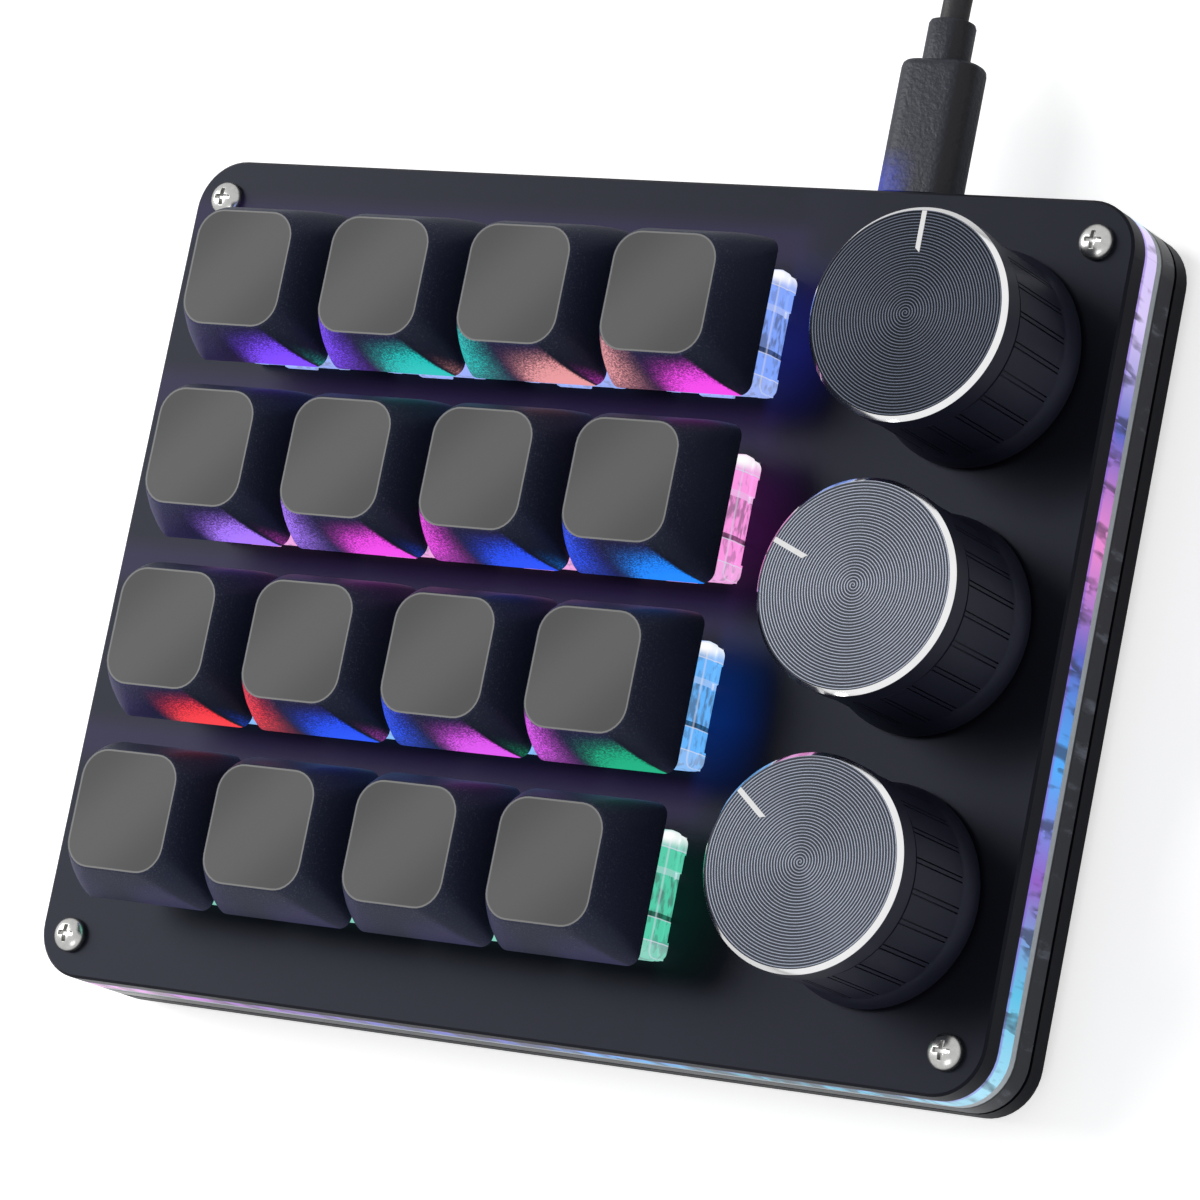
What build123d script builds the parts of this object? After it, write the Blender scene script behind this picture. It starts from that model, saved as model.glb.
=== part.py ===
from build123d import *
import os
from math import radians, tan

# A macro keypad: sixteen mechanical key switches and three push-and-turn encoders
# on one circuit board, held between two metal plates by two acrylic frames and four
# long screws. The parts are in millimetres, +Z up. The origin is on the desk, under
# the middle of the plates, and +Y points to the edge with the USB socket.

# ---- driving dimensions: the stack of plates ----
pad_width = 126.0
pad_depth = 100.0
corner_radius = 6.0
foot_height = 2.0
plate_thickness = 3.0
acrylic_thickness = 3.0
board_thickness = 1.6
land_height = 0.6  # raised middle of the bottom plate, seen as a dark line at the edge
land_inset = 0.5
edge_chamfer = 0.3

# ---- driving dimensions: what stands on the stack ----
column_pitch = 19.05
row_pitch = 21.5
columns = 4
rows = 4
keys_centre_x = -13.95
knob_x = 46.97
knob_pitch = 30.2
knob_centre_y = 0.9
indicator_angles = (90.0, 158.0, 142.0)  # from the back knob to the front one
screw_inset_x = 4.5
screw_inset_y = 4.9
usb_x = 32.5

# ---- heights that follow from the stack ----
land_z = foot_height + plate_thickness
lower_frame_z = land_z + land_height
board_z = lower_frame_z + acrylic_thickness
board_top_z = board_z + board_thickness
top_plate_z = board_top_z + acrylic_thickness
deck_z = top_plate_z + plate_thickness
deck_above_board = deck_z - board_top_z

key_places = {
    f"r{row + 1}c{column + 1}": (
        keys_centre_x + (column - (columns - 1) / 2) * column_pitch,
        ((rows - 1) / 2 - row) * row_pitch,
        deck_z,
    )
    for row in range(rows)
    for column in range(columns)
}
knob_places = [
    Location((knob_x, knob_centre_y + (1 - i) * knob_pitch, deck_z), (0, 0, angle))
    for i, angle in enumerate(indicator_angles)
]
screw_x = pad_width / 2 - screw_inset_x
screw_y = pad_depth / 2 - screw_inset_y
screw_places = GridLocations(2 * screw_x, 2 * screw_y, 2, 2).locations

os.makedirs("parts", exist_ok=True)


def write_copies(piece, places, label):
    """Writes one node: a copy of the piece, modelled about its own origin, at each place."""
    with BuildPart() as copies:
        with Locations(*places):
            add(piece.part)
    copies.part.label = label
    export_step(copies.part, f"parts/{label}.step")


# ---- bottom plate: a tapped plate with a low land on which the lower frame lies ----
screw_radius = 1.0
tapped_radius = 1.02
screw_clearance_radius = 1.2

with BuildPart() as bottom_plate:
    with BuildSketch(Plane.XY.offset(foot_height)):
        RectangleRounded(pad_width, pad_depth, corner_radius)
    extrude(amount=plate_thickness)
    chamfer(bottom_plate.faces().sort_by(Axis.Z)[0].edges(), edge_chamfer)
    with BuildSketch(Plane.XY.offset(land_z)):
        RectangleRounded(pad_width - 2 * land_inset, pad_depth - 2 * land_inset, corner_radius)
    extrude(amount=land_height)
    with Locations(Plane.XY.offset(lower_frame_z)):
        with GridLocations(2 * screw_x, 2 * screw_y, 2, 2):
            Hole(tapped_radius)
bottom_plate.part.label = "bottom_plate"
export_step(bottom_plate.part, "parts/bottom_plate.step")

# ---- rubber feet: four low cones glued under the bottom plate ----
foot_radius = 4.5
foot_tip_radius = 4.0
foot_spacing_x = 96.0
foot_spacing_y = 70.0

with BuildPart() as rubber_foot:
    with BuildSketch():
        Circle(foot_tip_radius)
    with BuildSketch(Plane.XY.offset(foot_height)):
        Circle(foot_radius)
    loft(ruled=True)
foot_places = GridLocations(foot_spacing_x, foot_spacing_y, 2, 2).locations
write_copies(rubber_foot, foot_places, "rubber_feet")

# ---- acrylic frames: the same frame lies under and over the board ----
frame_border = 8.0
usb_notch_width = 10.0

with BuildPart() as acrylic_frames:
    for frame_z in (lower_frame_z, board_top_z):
        with BuildSketch(Plane.XY.offset(frame_z)):
            RectangleRounded(pad_width, pad_depth, corner_radius)
            RectangleRounded(
                pad_width - 2 * frame_border,
                pad_depth - 2 * frame_border,
                corner_radius / 2,
                mode=Mode.SUBTRACT,
            )
            with GridLocations(2 * screw_x, 2 * screw_y, 2, 2):
                Circle(screw_clearance_radius, mode=Mode.SUBTRACT)
            with Locations((usb_x, (pad_depth - frame_border) / 2)):
                Rectangle(usb_notch_width, frame_border + 1, mode=Mode.SUBTRACT)
        extrude(amount=acrylic_thickness)
acrylic_frames.part.label = "acrylic_frames"
export_step(acrylic_frames.part, "parts/acrylic_frames.step")

# ---- key switch: lower housing with flange, guide post and solder pins ----
# The local origin of every switch piece is on the deck, at the switch's axis.
cutout = 14.0
flange_width = 15.6
flange_thickness = 1.0
flange_corner_radius = 1.0
flange_notch_length = 10.4
flange_notch_depth = 0.7
housing_width = 13.9
housing_depth = 5.0  # from the deck down to the housing's underside
housing_wall = 1.0
housing_floor = 0.8
post_radius = 1.95
post_length = 3.3
guide_radius = 1.6
guide_top = -1.5
guide_bore_radius = 1.1
guide_bore_depth = 7.6
light_window_width = 3.6
light_window_length = 2.2
led_offset = 5.08
pin_places = ((3.81, -2.54), (-2.54, -5.08))
pin_width = 1.2
pin_thickness = 0.4

with BuildPart() as lower_housing:
    with BuildSketch(Plane.XY.offset(-housing_depth)):
        Rectangle(housing_width, housing_width)
    extrude(amount=housing_depth)
    with BuildSketch():
        RectangleRounded(flange_width, flange_width, flange_corner_radius)
        with PolarLocations((flange_width - flange_notch_depth) / 2, 4):
            Rectangle(flange_notch_depth, flange_notch_length, mode=Mode.SUBTRACT)
    extrude(amount=flange_thickness)
    with BuildSketch(Plane.XY.offset(housing_floor - housing_depth)):
        Rectangle(housing_width - 2 * housing_wall, housing_width - 2 * housing_wall)
    extrude(amount=housing_depth + flange_thickness, mode=Mode.SUBTRACT)
    with BuildSketch(Plane.XY.offset(-housing_depth - post_length)):
        Circle(post_radius)
    extrude(amount=post_length)
    with BuildSketch(Plane.XY.offset(-housing_depth)):
        Circle(guide_radius)
    extrude(amount=housing_depth + guide_top)
    with BuildSketch(Plane.XY.offset(-guide_bore_depth)):
        Circle(guide_bore_radius)
    extrude(amount=guide_bore_depth, mode=Mode.SUBTRACT)
    with BuildSketch(Plane.XY.offset(-housing_depth)):
        with Locations((0, led_offset)):
            Rectangle(light_window_width, light_window_length)
    extrude(amount=housing_floor, mode=Mode.SUBTRACT)
    with BuildSketch(Plane.XY.offset(-housing_depth - post_length)):
        with Locations(*pin_places):
            Rectangle(pin_width, pin_thickness)
    extrude(amount=post_length)
write_copies(lower_housing, key_places.values(), "switch_lower_housings")

# ---- key switch: clear upper housing, a tapered hood clipped over the flange ----
hood_shoulder = 2.4
hood_top = 6.6
hood_roof = 1.0
hood_wall = 0.8
hood_corner_radius = 0.8
hood_base_width = 14.0
hood_base_length = 14.6
hood_top_width = 10.8
hood_top_length = 11.6
hood_space_top_width = 9.8
hood_space_top_length = 10.6
stem_window_width = 7.7
stem_window_length = 6.1

with BuildPart() as upper_housing:
    with BuildSketch(Plane.XY.offset(flange_thickness)):
        RectangleRounded(hood_base_width, hood_base_length, hood_corner_radius)
    extrude(amount=hood_shoulder - flange_thickness)
    with BuildSketch(Plane.XY.offset(hood_shoulder)):
        RectangleRounded(hood_base_width, hood_base_length, hood_corner_radius)
    with BuildSketch(Plane.XY.offset(hood_top)):
        RectangleRounded(hood_top_width, hood_top_length, hood_corner_radius)
    loft(ruled=True)
    with BuildSketch(Plane.XY.offset(flange_thickness)):
        Rectangle(hood_base_width - 2 * hood_wall, hood_base_length - 2 * hood_wall)
    with BuildSketch(Plane.XY.offset(hood_top - hood_roof)):
        Rectangle(hood_space_top_width, hood_space_top_length)
    loft(ruled=True, mode=Mode.SUBTRACT)
    with BuildSketch(Plane.XY.offset(hood_top - hood_roof)):
        Rectangle(stem_window_width, stem_window_length)
    extrude(amount=hood_roof, mode=Mode.SUBTRACT)
write_copies(upper_housing, key_places.values(), "switch_upper_housings")

# ---- key switch: coil spring, as the thin sleeve that the coil fills ----
spring_outer_radius = 2.15
spring_inner_radius = 1.75
spring_seat = housing_floor - housing_depth
stem_ceiling = 5.5

with BuildPart() as spring:
    with BuildSketch(Plane.XY.offset(spring_seat)):
        Circle(spring_outer_radius)
        Circle(spring_inner_radius, mode=Mode.SUBTRACT)
    extrude(amount=stem_ceiling - spring_seat)
write_copies(spring, key_places.values(), "switch_springs")

# ---- key switch: sliding stem with the cross that carries the keycap ----
stem_width = 7.1
stem_length = 5.5
stem_foot = 0.5
stem_shoulder = 6.5
cross_height = 3.6
cross_span = 4.0
cross_arm_x = 1.3
cross_arm_y = 1.1
wing_span = 8.8
wing_length = 4.0
wing_height = 1.0
stem_post_radius = 0.95
stem_post_tip = -2.5
spring_pocket_radius = 2.35

with BuildPart() as stem:
    with BuildSketch(Plane.XY.offset(stem_foot)):
        Rectangle(stem_width, stem_length)
    extrude(amount=stem_shoulder - stem_foot)
    with BuildSketch(Plane.XY.offset(stem_ceiling - wing_height)):
        Rectangle(wing_span, wing_length)
    extrude(amount=wing_height)
    with BuildSketch(Plane.XY.offset(stem_shoulder)):
        Rectangle(cross_span, cross_arm_x)
        Rectangle(cross_arm_y, cross_span)
    extrude(amount=cross_height)
    with BuildSketch(Plane.XY.offset(stem_foot)):
        Circle(spring_pocket_radius)
    extrude(amount=stem_ceiling - stem_foot, mode=Mode.SUBTRACT)
    with BuildSketch(Plane.XY.offset(stem_post_tip)):
        Circle(stem_post_radius)
    extrude(amount=stem_ceiling - stem_post_tip)

# ---- keycap: a tapered shell whose corners open from small to broad as it rises ----
cap_rim = 8.5
cap_top = 16.9
cap_width = 18.2
cap_rim_radius = 1.0
cap_top_width = 13.6
cap_top_length = 14.1
cap_top_radius = 3.3
cap_wall = 1.5
cap_ceiling = 15.2
boss_radius = 2.75
boss_foot = 6.6
fit_gap = 0.02

with BuildPart() as keycap:
    with BuildSketch(Plane.XY.offset(cap_rim)):
        RectangleRounded(cap_width, cap_width, cap_rim_radius)
    with BuildSketch(Plane.XY.offset(cap_top)):
        RectangleRounded(cap_top_width, cap_top_length, cap_top_radius)
    loft(ruled=True)
    with BuildSketch(Plane.XY.offset(cap_rim)):
        Rectangle(cap_width - 2 * cap_wall, cap_width - 2 * cap_wall)
    with BuildSketch(Plane.XY.offset(cap_ceiling)):
        Rectangle(cap_top_width - 2 * cap_wall, cap_top_length - 2 * cap_wall)
    loft(ruled=True, mode=Mode.SUBTRACT)
    with BuildSketch(Plane.XY.offset(boss_foot)):
        Circle(boss_radius)
    extrude(amount=cap_ceiling - boss_foot)
    with BuildSketch(Plane.XY.offset(boss_foot)):
        Rectangle(cross_span + 2 * fit_gap, cross_arm_x + 2 * fit_gap)
        Rectangle(cross_arm_y + 2 * fit_gap, cross_span + 2 * fit_gap)
    extrude(amount=cross_height, mode=Mode.SUBTRACT)

for name, place in key_places.items():
    write_copies(stem, [place], f"key_stem_{name}")
    write_copies(keycap, [place], f"keycap_{name}")

# ---- key lights: one low square light on the board behind each switch axis ----
led_width = 3.2
led_length = 2.8
led_height = 0.85

with BuildPart() as light:
    with BuildSketch(Plane.XY.offset(-deck_above_board)):
        with Locations((0, led_offset)):
            Rectangle(led_width, led_length)
    extrude(amount=led_height)
write_copies(light, key_places.values(), "key_lights")

# ---- encoders: metal box with a threaded bush, standing on the board ----
encoder_width = 12.0
encoder_corner_radius = 0.6
encoder_top = 0.5
encoder_floor = 0.7
encoder_roof = 1.5
rotor_space_radius = 5.2
bush_radius = 3.5
bush_top = 5.5
shaft_radius = 3.0
shaft_gap = 0.06
lug_width = 1.2
lug_length = 2.2
lug_depth = 2.6
lug_x = encoder_width / 2 - lug_width / 2

with BuildPart() as encoder_housing:
    with BuildSketch(Plane.XY.offset(-deck_above_board)):
        RectangleRounded(encoder_width, encoder_width, encoder_corner_radius)
    extrude(amount=deck_above_board + encoder_top)
    with BuildSketch(Plane.XY.offset(encoder_top)):
        Circle(bush_radius)
    extrude(amount=bush_top - encoder_top)
    with BuildSketch(Plane.XY.offset(encoder_floor - deck_above_board)):
        Circle(rotor_space_radius)
    extrude(
        amount=deck_above_board + encoder_top - encoder_floor - encoder_roof,
        mode=Mode.SUBTRACT,
    )
    with BuildSketch(Plane.XY.offset(encoder_top - encoder_roof)):
        Circle(shaft_radius + shaft_gap)
    extrude(amount=bush_top - encoder_top + encoder_roof, mode=Mode.SUBTRACT)
    with BuildSketch(Plane.XY.offset(-deck_above_board)):
        with Locations((lug_x, 0), (-lug_x, 0)):
            Rectangle(lug_width, lug_length)
    extrude(amount=-lug_depth)
encoder_places = [(place.position.X, place.position.Y, deck_z) for place in knob_places]
write_copies(encoder_housing, encoder_places, "encoder_housings")

# ---- encoders: rotor with its detent teeth, turned by the shaft that slides in it ----
rotor_radius = 4.6
rotor_low = 2.2 - deck_above_board
rotor_thickness = 1.6
rotor_teeth = 15
tooth_cut_radius = 0.35
neck_radius = 2.0
neck_flat = 1.5

with BuildPart() as rotor:
    with BuildSketch(Plane.XY.offset(rotor_low)):
        Circle(rotor_radius)
        with PolarLocations(rotor_radius, rotor_teeth):
            Circle(tooth_cut_radius, mode=Mode.SUBTRACT)
        with BuildSketch(mode=Mode.PRIVATE) as neck_hole:
            Circle(neck_radius + shaft_gap)
            with Locations((neck_flat + shaft_gap + neck_radius, 0)):
                Rectangle(2 * neck_radius, 3 * neck_radius, mode=Mode.SUBTRACT)
        add(neck_hole.sketch, mode=Mode.SUBTRACT)
    extrude(amount=rotor_thickness)

# ---- encoders: steel shaft, flatted at the top for the knob and on its thin neck ----
shaft_top = 15.5
shaft_foot = 1.4 - deck_above_board
neck_top = -0.8
flat_foot = 8.5
flat_depth = 1.5

with BuildPart() as shaft:
    with BuildSketch(Plane.XY.offset(shaft_foot)):
        Circle(neck_radius)
        with Locations((neck_flat + neck_radius, 0)):
            Rectangle(2 * neck_radius, 3 * neck_radius, mode=Mode.SUBTRACT)
    extrude(amount=neck_top - shaft_foot)
    with BuildSketch(Plane.XY.offset(neck_top)):
        Circle(shaft_radius)
    extrude(amount=shaft_top - neck_top)
    with BuildSketch(Plane.XY.offset(flat_foot)):
        with Locations((2 * shaft_radius - flat_depth, 0)):
            Rectangle(2 * shaft_radius, 3 * shaft_radius)
    extrude(amount=shaft_top - flat_foot, mode=Mode.SUBTRACT)

# ---- knob shell: black moulding with a collar, a flared skirt and a grip band whose
# panels are parted by a narrow rib between two grooves ----
skirt_foot = 0.7
skirt_radius = 12.5
skirt_edge = 1.2
skirt_top = 3.7
grip_radius = 11.8
grip_top = 14.4
collar_radius = 12.0
collar_groove_radius = 11.4
collar_groove_low = 14.5
collar_groove_high = 14.8
collar_foot = 14.95
shell_top = 17.75
shell_roof = 3.2
shell_bore_radius = 10.3
hub_radius = 5.0
hub_foot = 6.6
grip_panels = 22
groove_depth = 0.3
groove_width = 0.25
rib_half_angle = 1.45  # from the middle of the rib between two panels to either groove

with BuildPart() as knob_shell:
    with BuildSketch(Plane.XZ):
        with BuildLine():
            Polyline(
                (0, skirt_foot),
                (skirt_radius, skirt_foot),
                (skirt_radius, skirt_edge),
                (grip_radius, skirt_top),
                (grip_radius, grip_top),
                (collar_groove_radius, collar_groove_low),
                (collar_groove_radius, collar_groove_high),
                (collar_radius, collar_foot),
                (collar_radius, shell_top),
                (0, shell_top),
                close=True,
            )
        make_face()
    revolve(axis=Axis.Z)
    with BuildSketch(Plane.XY.offset(skirt_foot)):
        Circle(shell_bore_radius)
        Circle(hub_radius, mode=Mode.SUBTRACT)
    extrude(amount=shell_top - shell_roof - skirt_foot, mode=Mode.SUBTRACT)
    with BuildSketch(Plane.XY.offset(skirt_foot)):
        Circle(hub_radius)
    extrude(amount=hub_foot - skirt_foot, mode=Mode.SUBTRACT)
    with BuildSketch(Plane.XY.offset(hub_foot)):
        Circle(shaft_radius + fit_gap)
    extrude(amount=flat_foot - hub_foot, mode=Mode.SUBTRACT)
    with BuildSketch(Plane.XY.offset(flat_foot)):
        Circle(shaft_radius + fit_gap)
        with Locations((2 * shaft_radius - flat_depth + fit_gap, 0)):
            Rectangle(2 * shaft_radius, 3 * shaft_radius, mode=Mode.SUBTRACT)
    extrude(amount=shaft_top - flat_foot, mode=Mode.SUBTRACT)
    with BuildSketch(Plane.XY.offset(skirt_top)):
        for groove_angle in (-rib_half_angle, rib_half_angle):
            with PolarLocations(grip_radius, grip_panels, groove_angle):
                Rectangle(2 * groove_depth, groove_width)
    extrude(amount=grip_top - skirt_top, mode=Mode.SUBTRACT)

# ---- knob disc: thin turned aluminium cover, all its edge a bright chamfer, with an
# index slot ----
disc_radius = 12.0
disc_height = 0.65
disc_chamfer_width = 0.5
disc_top = shell_top + disc_height
slot_inner_radius = 7.0
slot_width = 0.6
slot_depth = 0.25
face_radius = disc_radius - disc_chamfer_width

with BuildPart() as knob_disc:
    with BuildSketch(Plane.XZ):
        with BuildLine():
            Polyline(
                (0, shell_top),
                (disc_radius, shell_top),
                (face_radius, disc_top),
                (0, disc_top),
                close=True,
            )
        make_face()
    revolve(axis=Axis.Z)
    with BuildSketch(Plane.XY.offset(disc_top)):
        with Locations(((slot_inner_radius + disc_radius) / 2, 0)):
            Rectangle(disc_radius - slot_inner_radius, slot_width)
    extrude(amount=-slot_depth, mode=Mode.SUBTRACT)

for number, place in enumerate(knob_places, start=1):
    write_copies(rotor, [place], f"encoder_{number}_rotor")
    write_copies(shaft, [place], f"encoder_{number}_shaft")
    write_copies(knob_shell, [place], f"knob_{number}_shell")
    write_copies(knob_disc, [place], f"knob_{number}_disc")

# ---- USB socket: a sheet-steel shell sunk in a notch of the board's back edge ----
socket_width = 8.94
socket_height = 3.2
socket_radius = 1.5
socket_length = 7.35
socket_back = 0.6
socket_mouth_width = 8.4
socket_mouth_height = 2.6
socket_mouth_radius = 1.2
socket_sink = 0.6
socket_back_y = pad_depth / 2 - 0.2
usb_z = board_top_z - socket_sink + socket_height / 2
usb_face = Plane(origin=(usb_x, socket_back_y, usb_z), x_dir=(1, 0, 0), z_dir=(0, 1, 0))

with BuildPart() as usb_socket:
    with BuildSketch(usb_face):
        RectangleRounded(socket_width, socket_height, socket_radius)
    extrude(amount=-socket_length)
    with BuildSketch(usb_face):
        RectangleRounded(socket_mouth_width, socket_mouth_height, socket_mouth_radius)
    extrude(amount=socket_back - socket_length, mode=Mode.SUBTRACT)
usb_socket.part.label = "usb_socket"
export_step(usb_socket.part, "parts/usb_socket.step")

# ---- circuit board, with the controller and its neighbours soldered underneath ----
pin_slot_gap = 0.2
post_hole_radius = post_radius + 0.1
board_notch_gap = 0.2
controller_place = (32.5, 18.0)
controller_width = 7.0
small_chip_places = ((32.5, 28.0), (40.0, 18.0))  # regulator and crystal
small_chip_width = 3.2
small_chip_length = 2.5
chip_height = 1.0

with BuildPart() as circuit_board:
    with BuildSketch(Plane.XY.offset(board_z)):
        RectangleRounded(pad_width, pad_depth, corner_radius)
        with GridLocations(2 * screw_x, 2 * screw_y, 2, 2):
            Circle(screw_clearance_radius, mode=Mode.SUBTRACT)
        for key_x, key_y, _ in key_places.values():
            with Locations((key_x, key_y)):
                Circle(post_hole_radius, mode=Mode.SUBTRACT)
            with Locations(*((key_x + x, key_y + y) for x, y in pin_places)):
                Rectangle(
                    pin_width + 2 * pin_slot_gap,
                    pin_thickness + 2 * pin_slot_gap,
                    mode=Mode.SUBTRACT,
                )
        for encoder_x, encoder_y, _ in encoder_places:
            with Locations((encoder_x + lug_x, encoder_y), (encoder_x - lug_x, encoder_y)):
                Rectangle(
                    lug_width + 2 * pin_slot_gap,
                    lug_length + 2 * pin_slot_gap,
                    mode=Mode.SUBTRACT,
                )
        with Locations((usb_x, pad_depth / 2)):
            Rectangle(
                socket_width + 2 * board_notch_gap,
                2 * (socket_length + pad_depth / 2 - socket_back_y + board_notch_gap),
                mode=Mode.SUBTRACT,
            )
    extrude(amount=board_thickness)
    with BuildSketch(Plane.XY.offset(board_z)):
        with Locations(controller_place):
            Rectangle(controller_width, controller_width)
        with Locations(*small_chip_places):
            Rectangle(small_chip_width, small_chip_length)
    extrude(amount=-chip_height)
circuit_board.part.label = "circuit_board"
export_step(circuit_board.part, "parts/circuit_board.step")

# ---- top plate: each cut-out is relieved underneath so that the switch clips can spring ----
clip_land = 1.5
cutout_relief_length = 15.4
encoder_opening = 13.0
encoder_opening_radius = 0.8

with BuildPart() as top_plate:
    with BuildSketch(Plane.XY.offset(top_plate_z)):
        RectangleRounded(pad_width, pad_depth, corner_radius)
    extrude(amount=plate_thickness)
    chamfer(top_plate.faces().sort_by(Axis.Z)[-1].edges(), edge_chamfer)
    with BuildSketch(Plane.XY.offset(top_plate_z)):
        with Locations(*((x, y) for x, y, _ in key_places.values())):
            Rectangle(cutout, cutout)
        with Locations(*((x, y) for x, y, _ in encoder_places)):
            RectangleRounded(encoder_opening, encoder_opening, encoder_opening_radius)
        with GridLocations(2 * screw_x, 2 * screw_y, 2, 2):
            Circle(screw_clearance_radius)
    extrude(amount=plate_thickness, mode=Mode.SUBTRACT)
    with BuildSketch(Plane.XY.offset(top_plate_z)):
        with Locations(*((x, y) for x, y, _ in key_places.values())):
            Rectangle(cutout, cutout_relief_length)
    extrude(amount=plate_thickness - clip_land, mode=Mode.SUBTRACT)
top_plate.part.label = "top_plate"
export_step(top_plate.part, "parts/top_plate.step")

# ---- corner screws: pan heads with a cross recess, through the whole stack ----
head_radius = 2.05
head_height = 1.6
head_side = 0.5
dome_radius = 2.5
recess_span = 1.9
recess_width = 0.5
recess_depth = 0.8
screw_tip_gap = 0.3  # from the tip to the underside of the bottom plate
screw_length = deck_z - foot_height - screw_tip_gap

with BuildPart() as screw:
    with BuildSketch(Plane.XZ):
        with BuildLine():
            Line((0, 0), (head_radius, 0))
            Line((head_radius, 0), (head_radius, head_side))
            RadiusArc((head_radius, head_side), (0, head_height), -dome_radius)
            Line((0, head_height), (0, 0))
        make_face()
    revolve(axis=Axis.Z)
    with BuildSketch(Plane.XY.offset(head_height)):
        Rectangle(recess_span, recess_width)
        Rectangle(recess_width, recess_span)
    extrude(amount=-recess_depth, mode=Mode.SUBTRACT)
    with BuildSketch():
        Circle(screw_radius)
    extrude(amount=-screw_length)
write_copies(
    screw,
    [(place.position.X, place.position.Y, deck_z) for place in screw_places],
    "corner_screws",
)

# ---- USB lead: plug moulding with a stepped strain relief, and its steel tongue ----
cable_radius = 1.65
plug_width = 9.9
plug_height = 6.0
plug_radius = 2.6
plug_shoulder = 0.8
plug_face_y = pad_depth / 2 + 0.4
plug_length = 16.0
relief_width = 5.5
relief_height = 4.6
relief_radius = 2.2
relief_shoulder = 0.5
relief_length = 5.1
tongue_width = 8.25
tongue_height = 2.4
tongue_radius = 1.1
tongue_length = 6.4
plug_face = Plane(origin=(usb_x, plug_face_y, usb_z), x_dir=(-1, 0, 0), z_dir=(0, 1, 0))

with BuildPart() as usb_plug:
    with BuildSketch(plug_face):
        RectangleRounded(plug_width, plug_height, plug_radius)
    extrude(amount=plug_length)
    chamfer(usb_plug.faces().sort_by(Axis.Y)[-1].edges(), plug_shoulder)
    with BuildSketch(plug_face.offset(plug_length)):
        RectangleRounded(relief_width, relief_height, relief_radius)
    extrude(amount=relief_length)
    chamfer(usb_plug.faces().sort_by(Axis.Y)[-1].edges(), relief_shoulder)
    with BuildSketch(plug_face):
        RectangleRounded(tongue_width, tongue_height, tongue_radius)
    extrude(amount=-tongue_length)
usb_plug.part.label = "usb_plug"
export_step(usb_plug.part, "parts/usb_plug.step")

# ---- USB lead: the run from the plug down to the desk ----
exit_y = plug_face_y + plug_length + relief_length
coil_lead_in = 16.0
coil_turn_radius = 31.0  # middle of the outermost turn
run_points = [
    (usb_x, exit_y, usb_z),
    (usb_x, exit_y + 10.6, usb_z),
    (usb_x - 2.0, exit_y + 28.4, cable_radius),
    (usb_x - 2.0, exit_y + 39.0, cable_radius),
]


def tangent_radii(points):
    """Arc radius for each corner of the route, from its shorter run and its turn."""
    found = []
    for before, corner, after in zip(points, points[1:], points[2:]):
        run_in = Vector(*corner) - Vector(*before)
        run_out = Vector(*after) - Vector(*corner)
        shorter = min(run_in.length, run_out.length)
        found.append(0.45 * shorter / tan(radians(run_in.get_angle(run_out)) / 2))
    return found


run_radii = tangent_radii(run_points)
print("cable radii", [round(radius, 1) for radius in run_radii])

with BuildPart() as cable_run:
    with BuildLine() as run_path:
        FilletPolyline(*run_points, radius=run_radii)
    run_wire = run_path.wires()[0]
    with BuildSketch(Plane(origin=run_wire @ 0, z_dir=run_wire % 0)):
        Circle(cable_radius)
    sweep(path=run_wire)
print("cable run length", round(run_wire.length, 1), "volume", round(cable_run.part.volume, 1))
cable_run.part.label = "cable_run"
export_step(cable_run.part, "parts/cable_run.step")

# ---- USB lead: the rest of it wound in two flat layers, as the ring that it fills ----
coil_outer_radius = coil_turn_radius + cable_radius
coil_inner_radius = 13.0
coil_height = 6.2
coil_edge_radius = 1.4
turn_spacing = 4.0
tail_turn_radius = coil_turn_radius - 1.5 * turn_spacing  # the upper layer's last turn
tail_lift_off = 12.0  # from the coil's middle to where the tail leaves its turn
tail_length = 34.0
host_plug_z = 4.0
coil_x = run_points[-1][0] + coil_turn_radius
coil_y = run_points[-1][1] + coil_lead_in
coil_section = Plane(origin=(coil_x, coil_y, 0), x_dir=(1, 0, 0), z_dir=(0, -1, 0))
tail_start = Vector(coil_x + tail_turn_radius, coil_y - tail_lift_off, coil_height - cable_radius)
tail_end = Vector(coil_x + tail_turn_radius, coil_y - tail_length, host_plug_z)

with BuildPart() as cable_coil:
    with BuildSketch(coil_section):
        with Locations(((coil_inner_radius + coil_outer_radius) / 2, coil_height / 2)):
            RectangleRounded(
                coil_outer_radius - coil_inner_radius, coil_height, coil_edge_radius
            )
    revolve(axis=Axis((coil_x, coil_y, 0), (0, 0, 1)))
    with BuildSketch(Plane(origin=run_points[-1], z_dir=(0, 1, 0))):
        Circle(cable_radius)
    extrude(amount=coil_lead_in)
    with BuildSketch(Plane(origin=tail_start, z_dir=tail_end - tail_start)):
        Circle(cable_radius)
    extrude(amount=(tail_end - tail_start).length)
cable_coil.part.label = "cable_coil"
export_step(cable_coil.part, "parts/cable_coil.step")

# ---- USB lead: the plug for the computer, lying on the desk beside the coil ----
host_relief_gap = 0.3
host_relief_tip_radius = 2.4
host_relief_foot_radius = 3.6
host_relief_length = 9.0
host_body_radius = 2.5
host_body_width = 15.6
host_body_length = 27.0
host_shell_width = 12.0
host_shell_height = 4.5
host_shell_length = 18.6
host_face = Plane(origin=tail_end, x_dir=(1, 0, 0), z_dir=(0, -1, 0))

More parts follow.
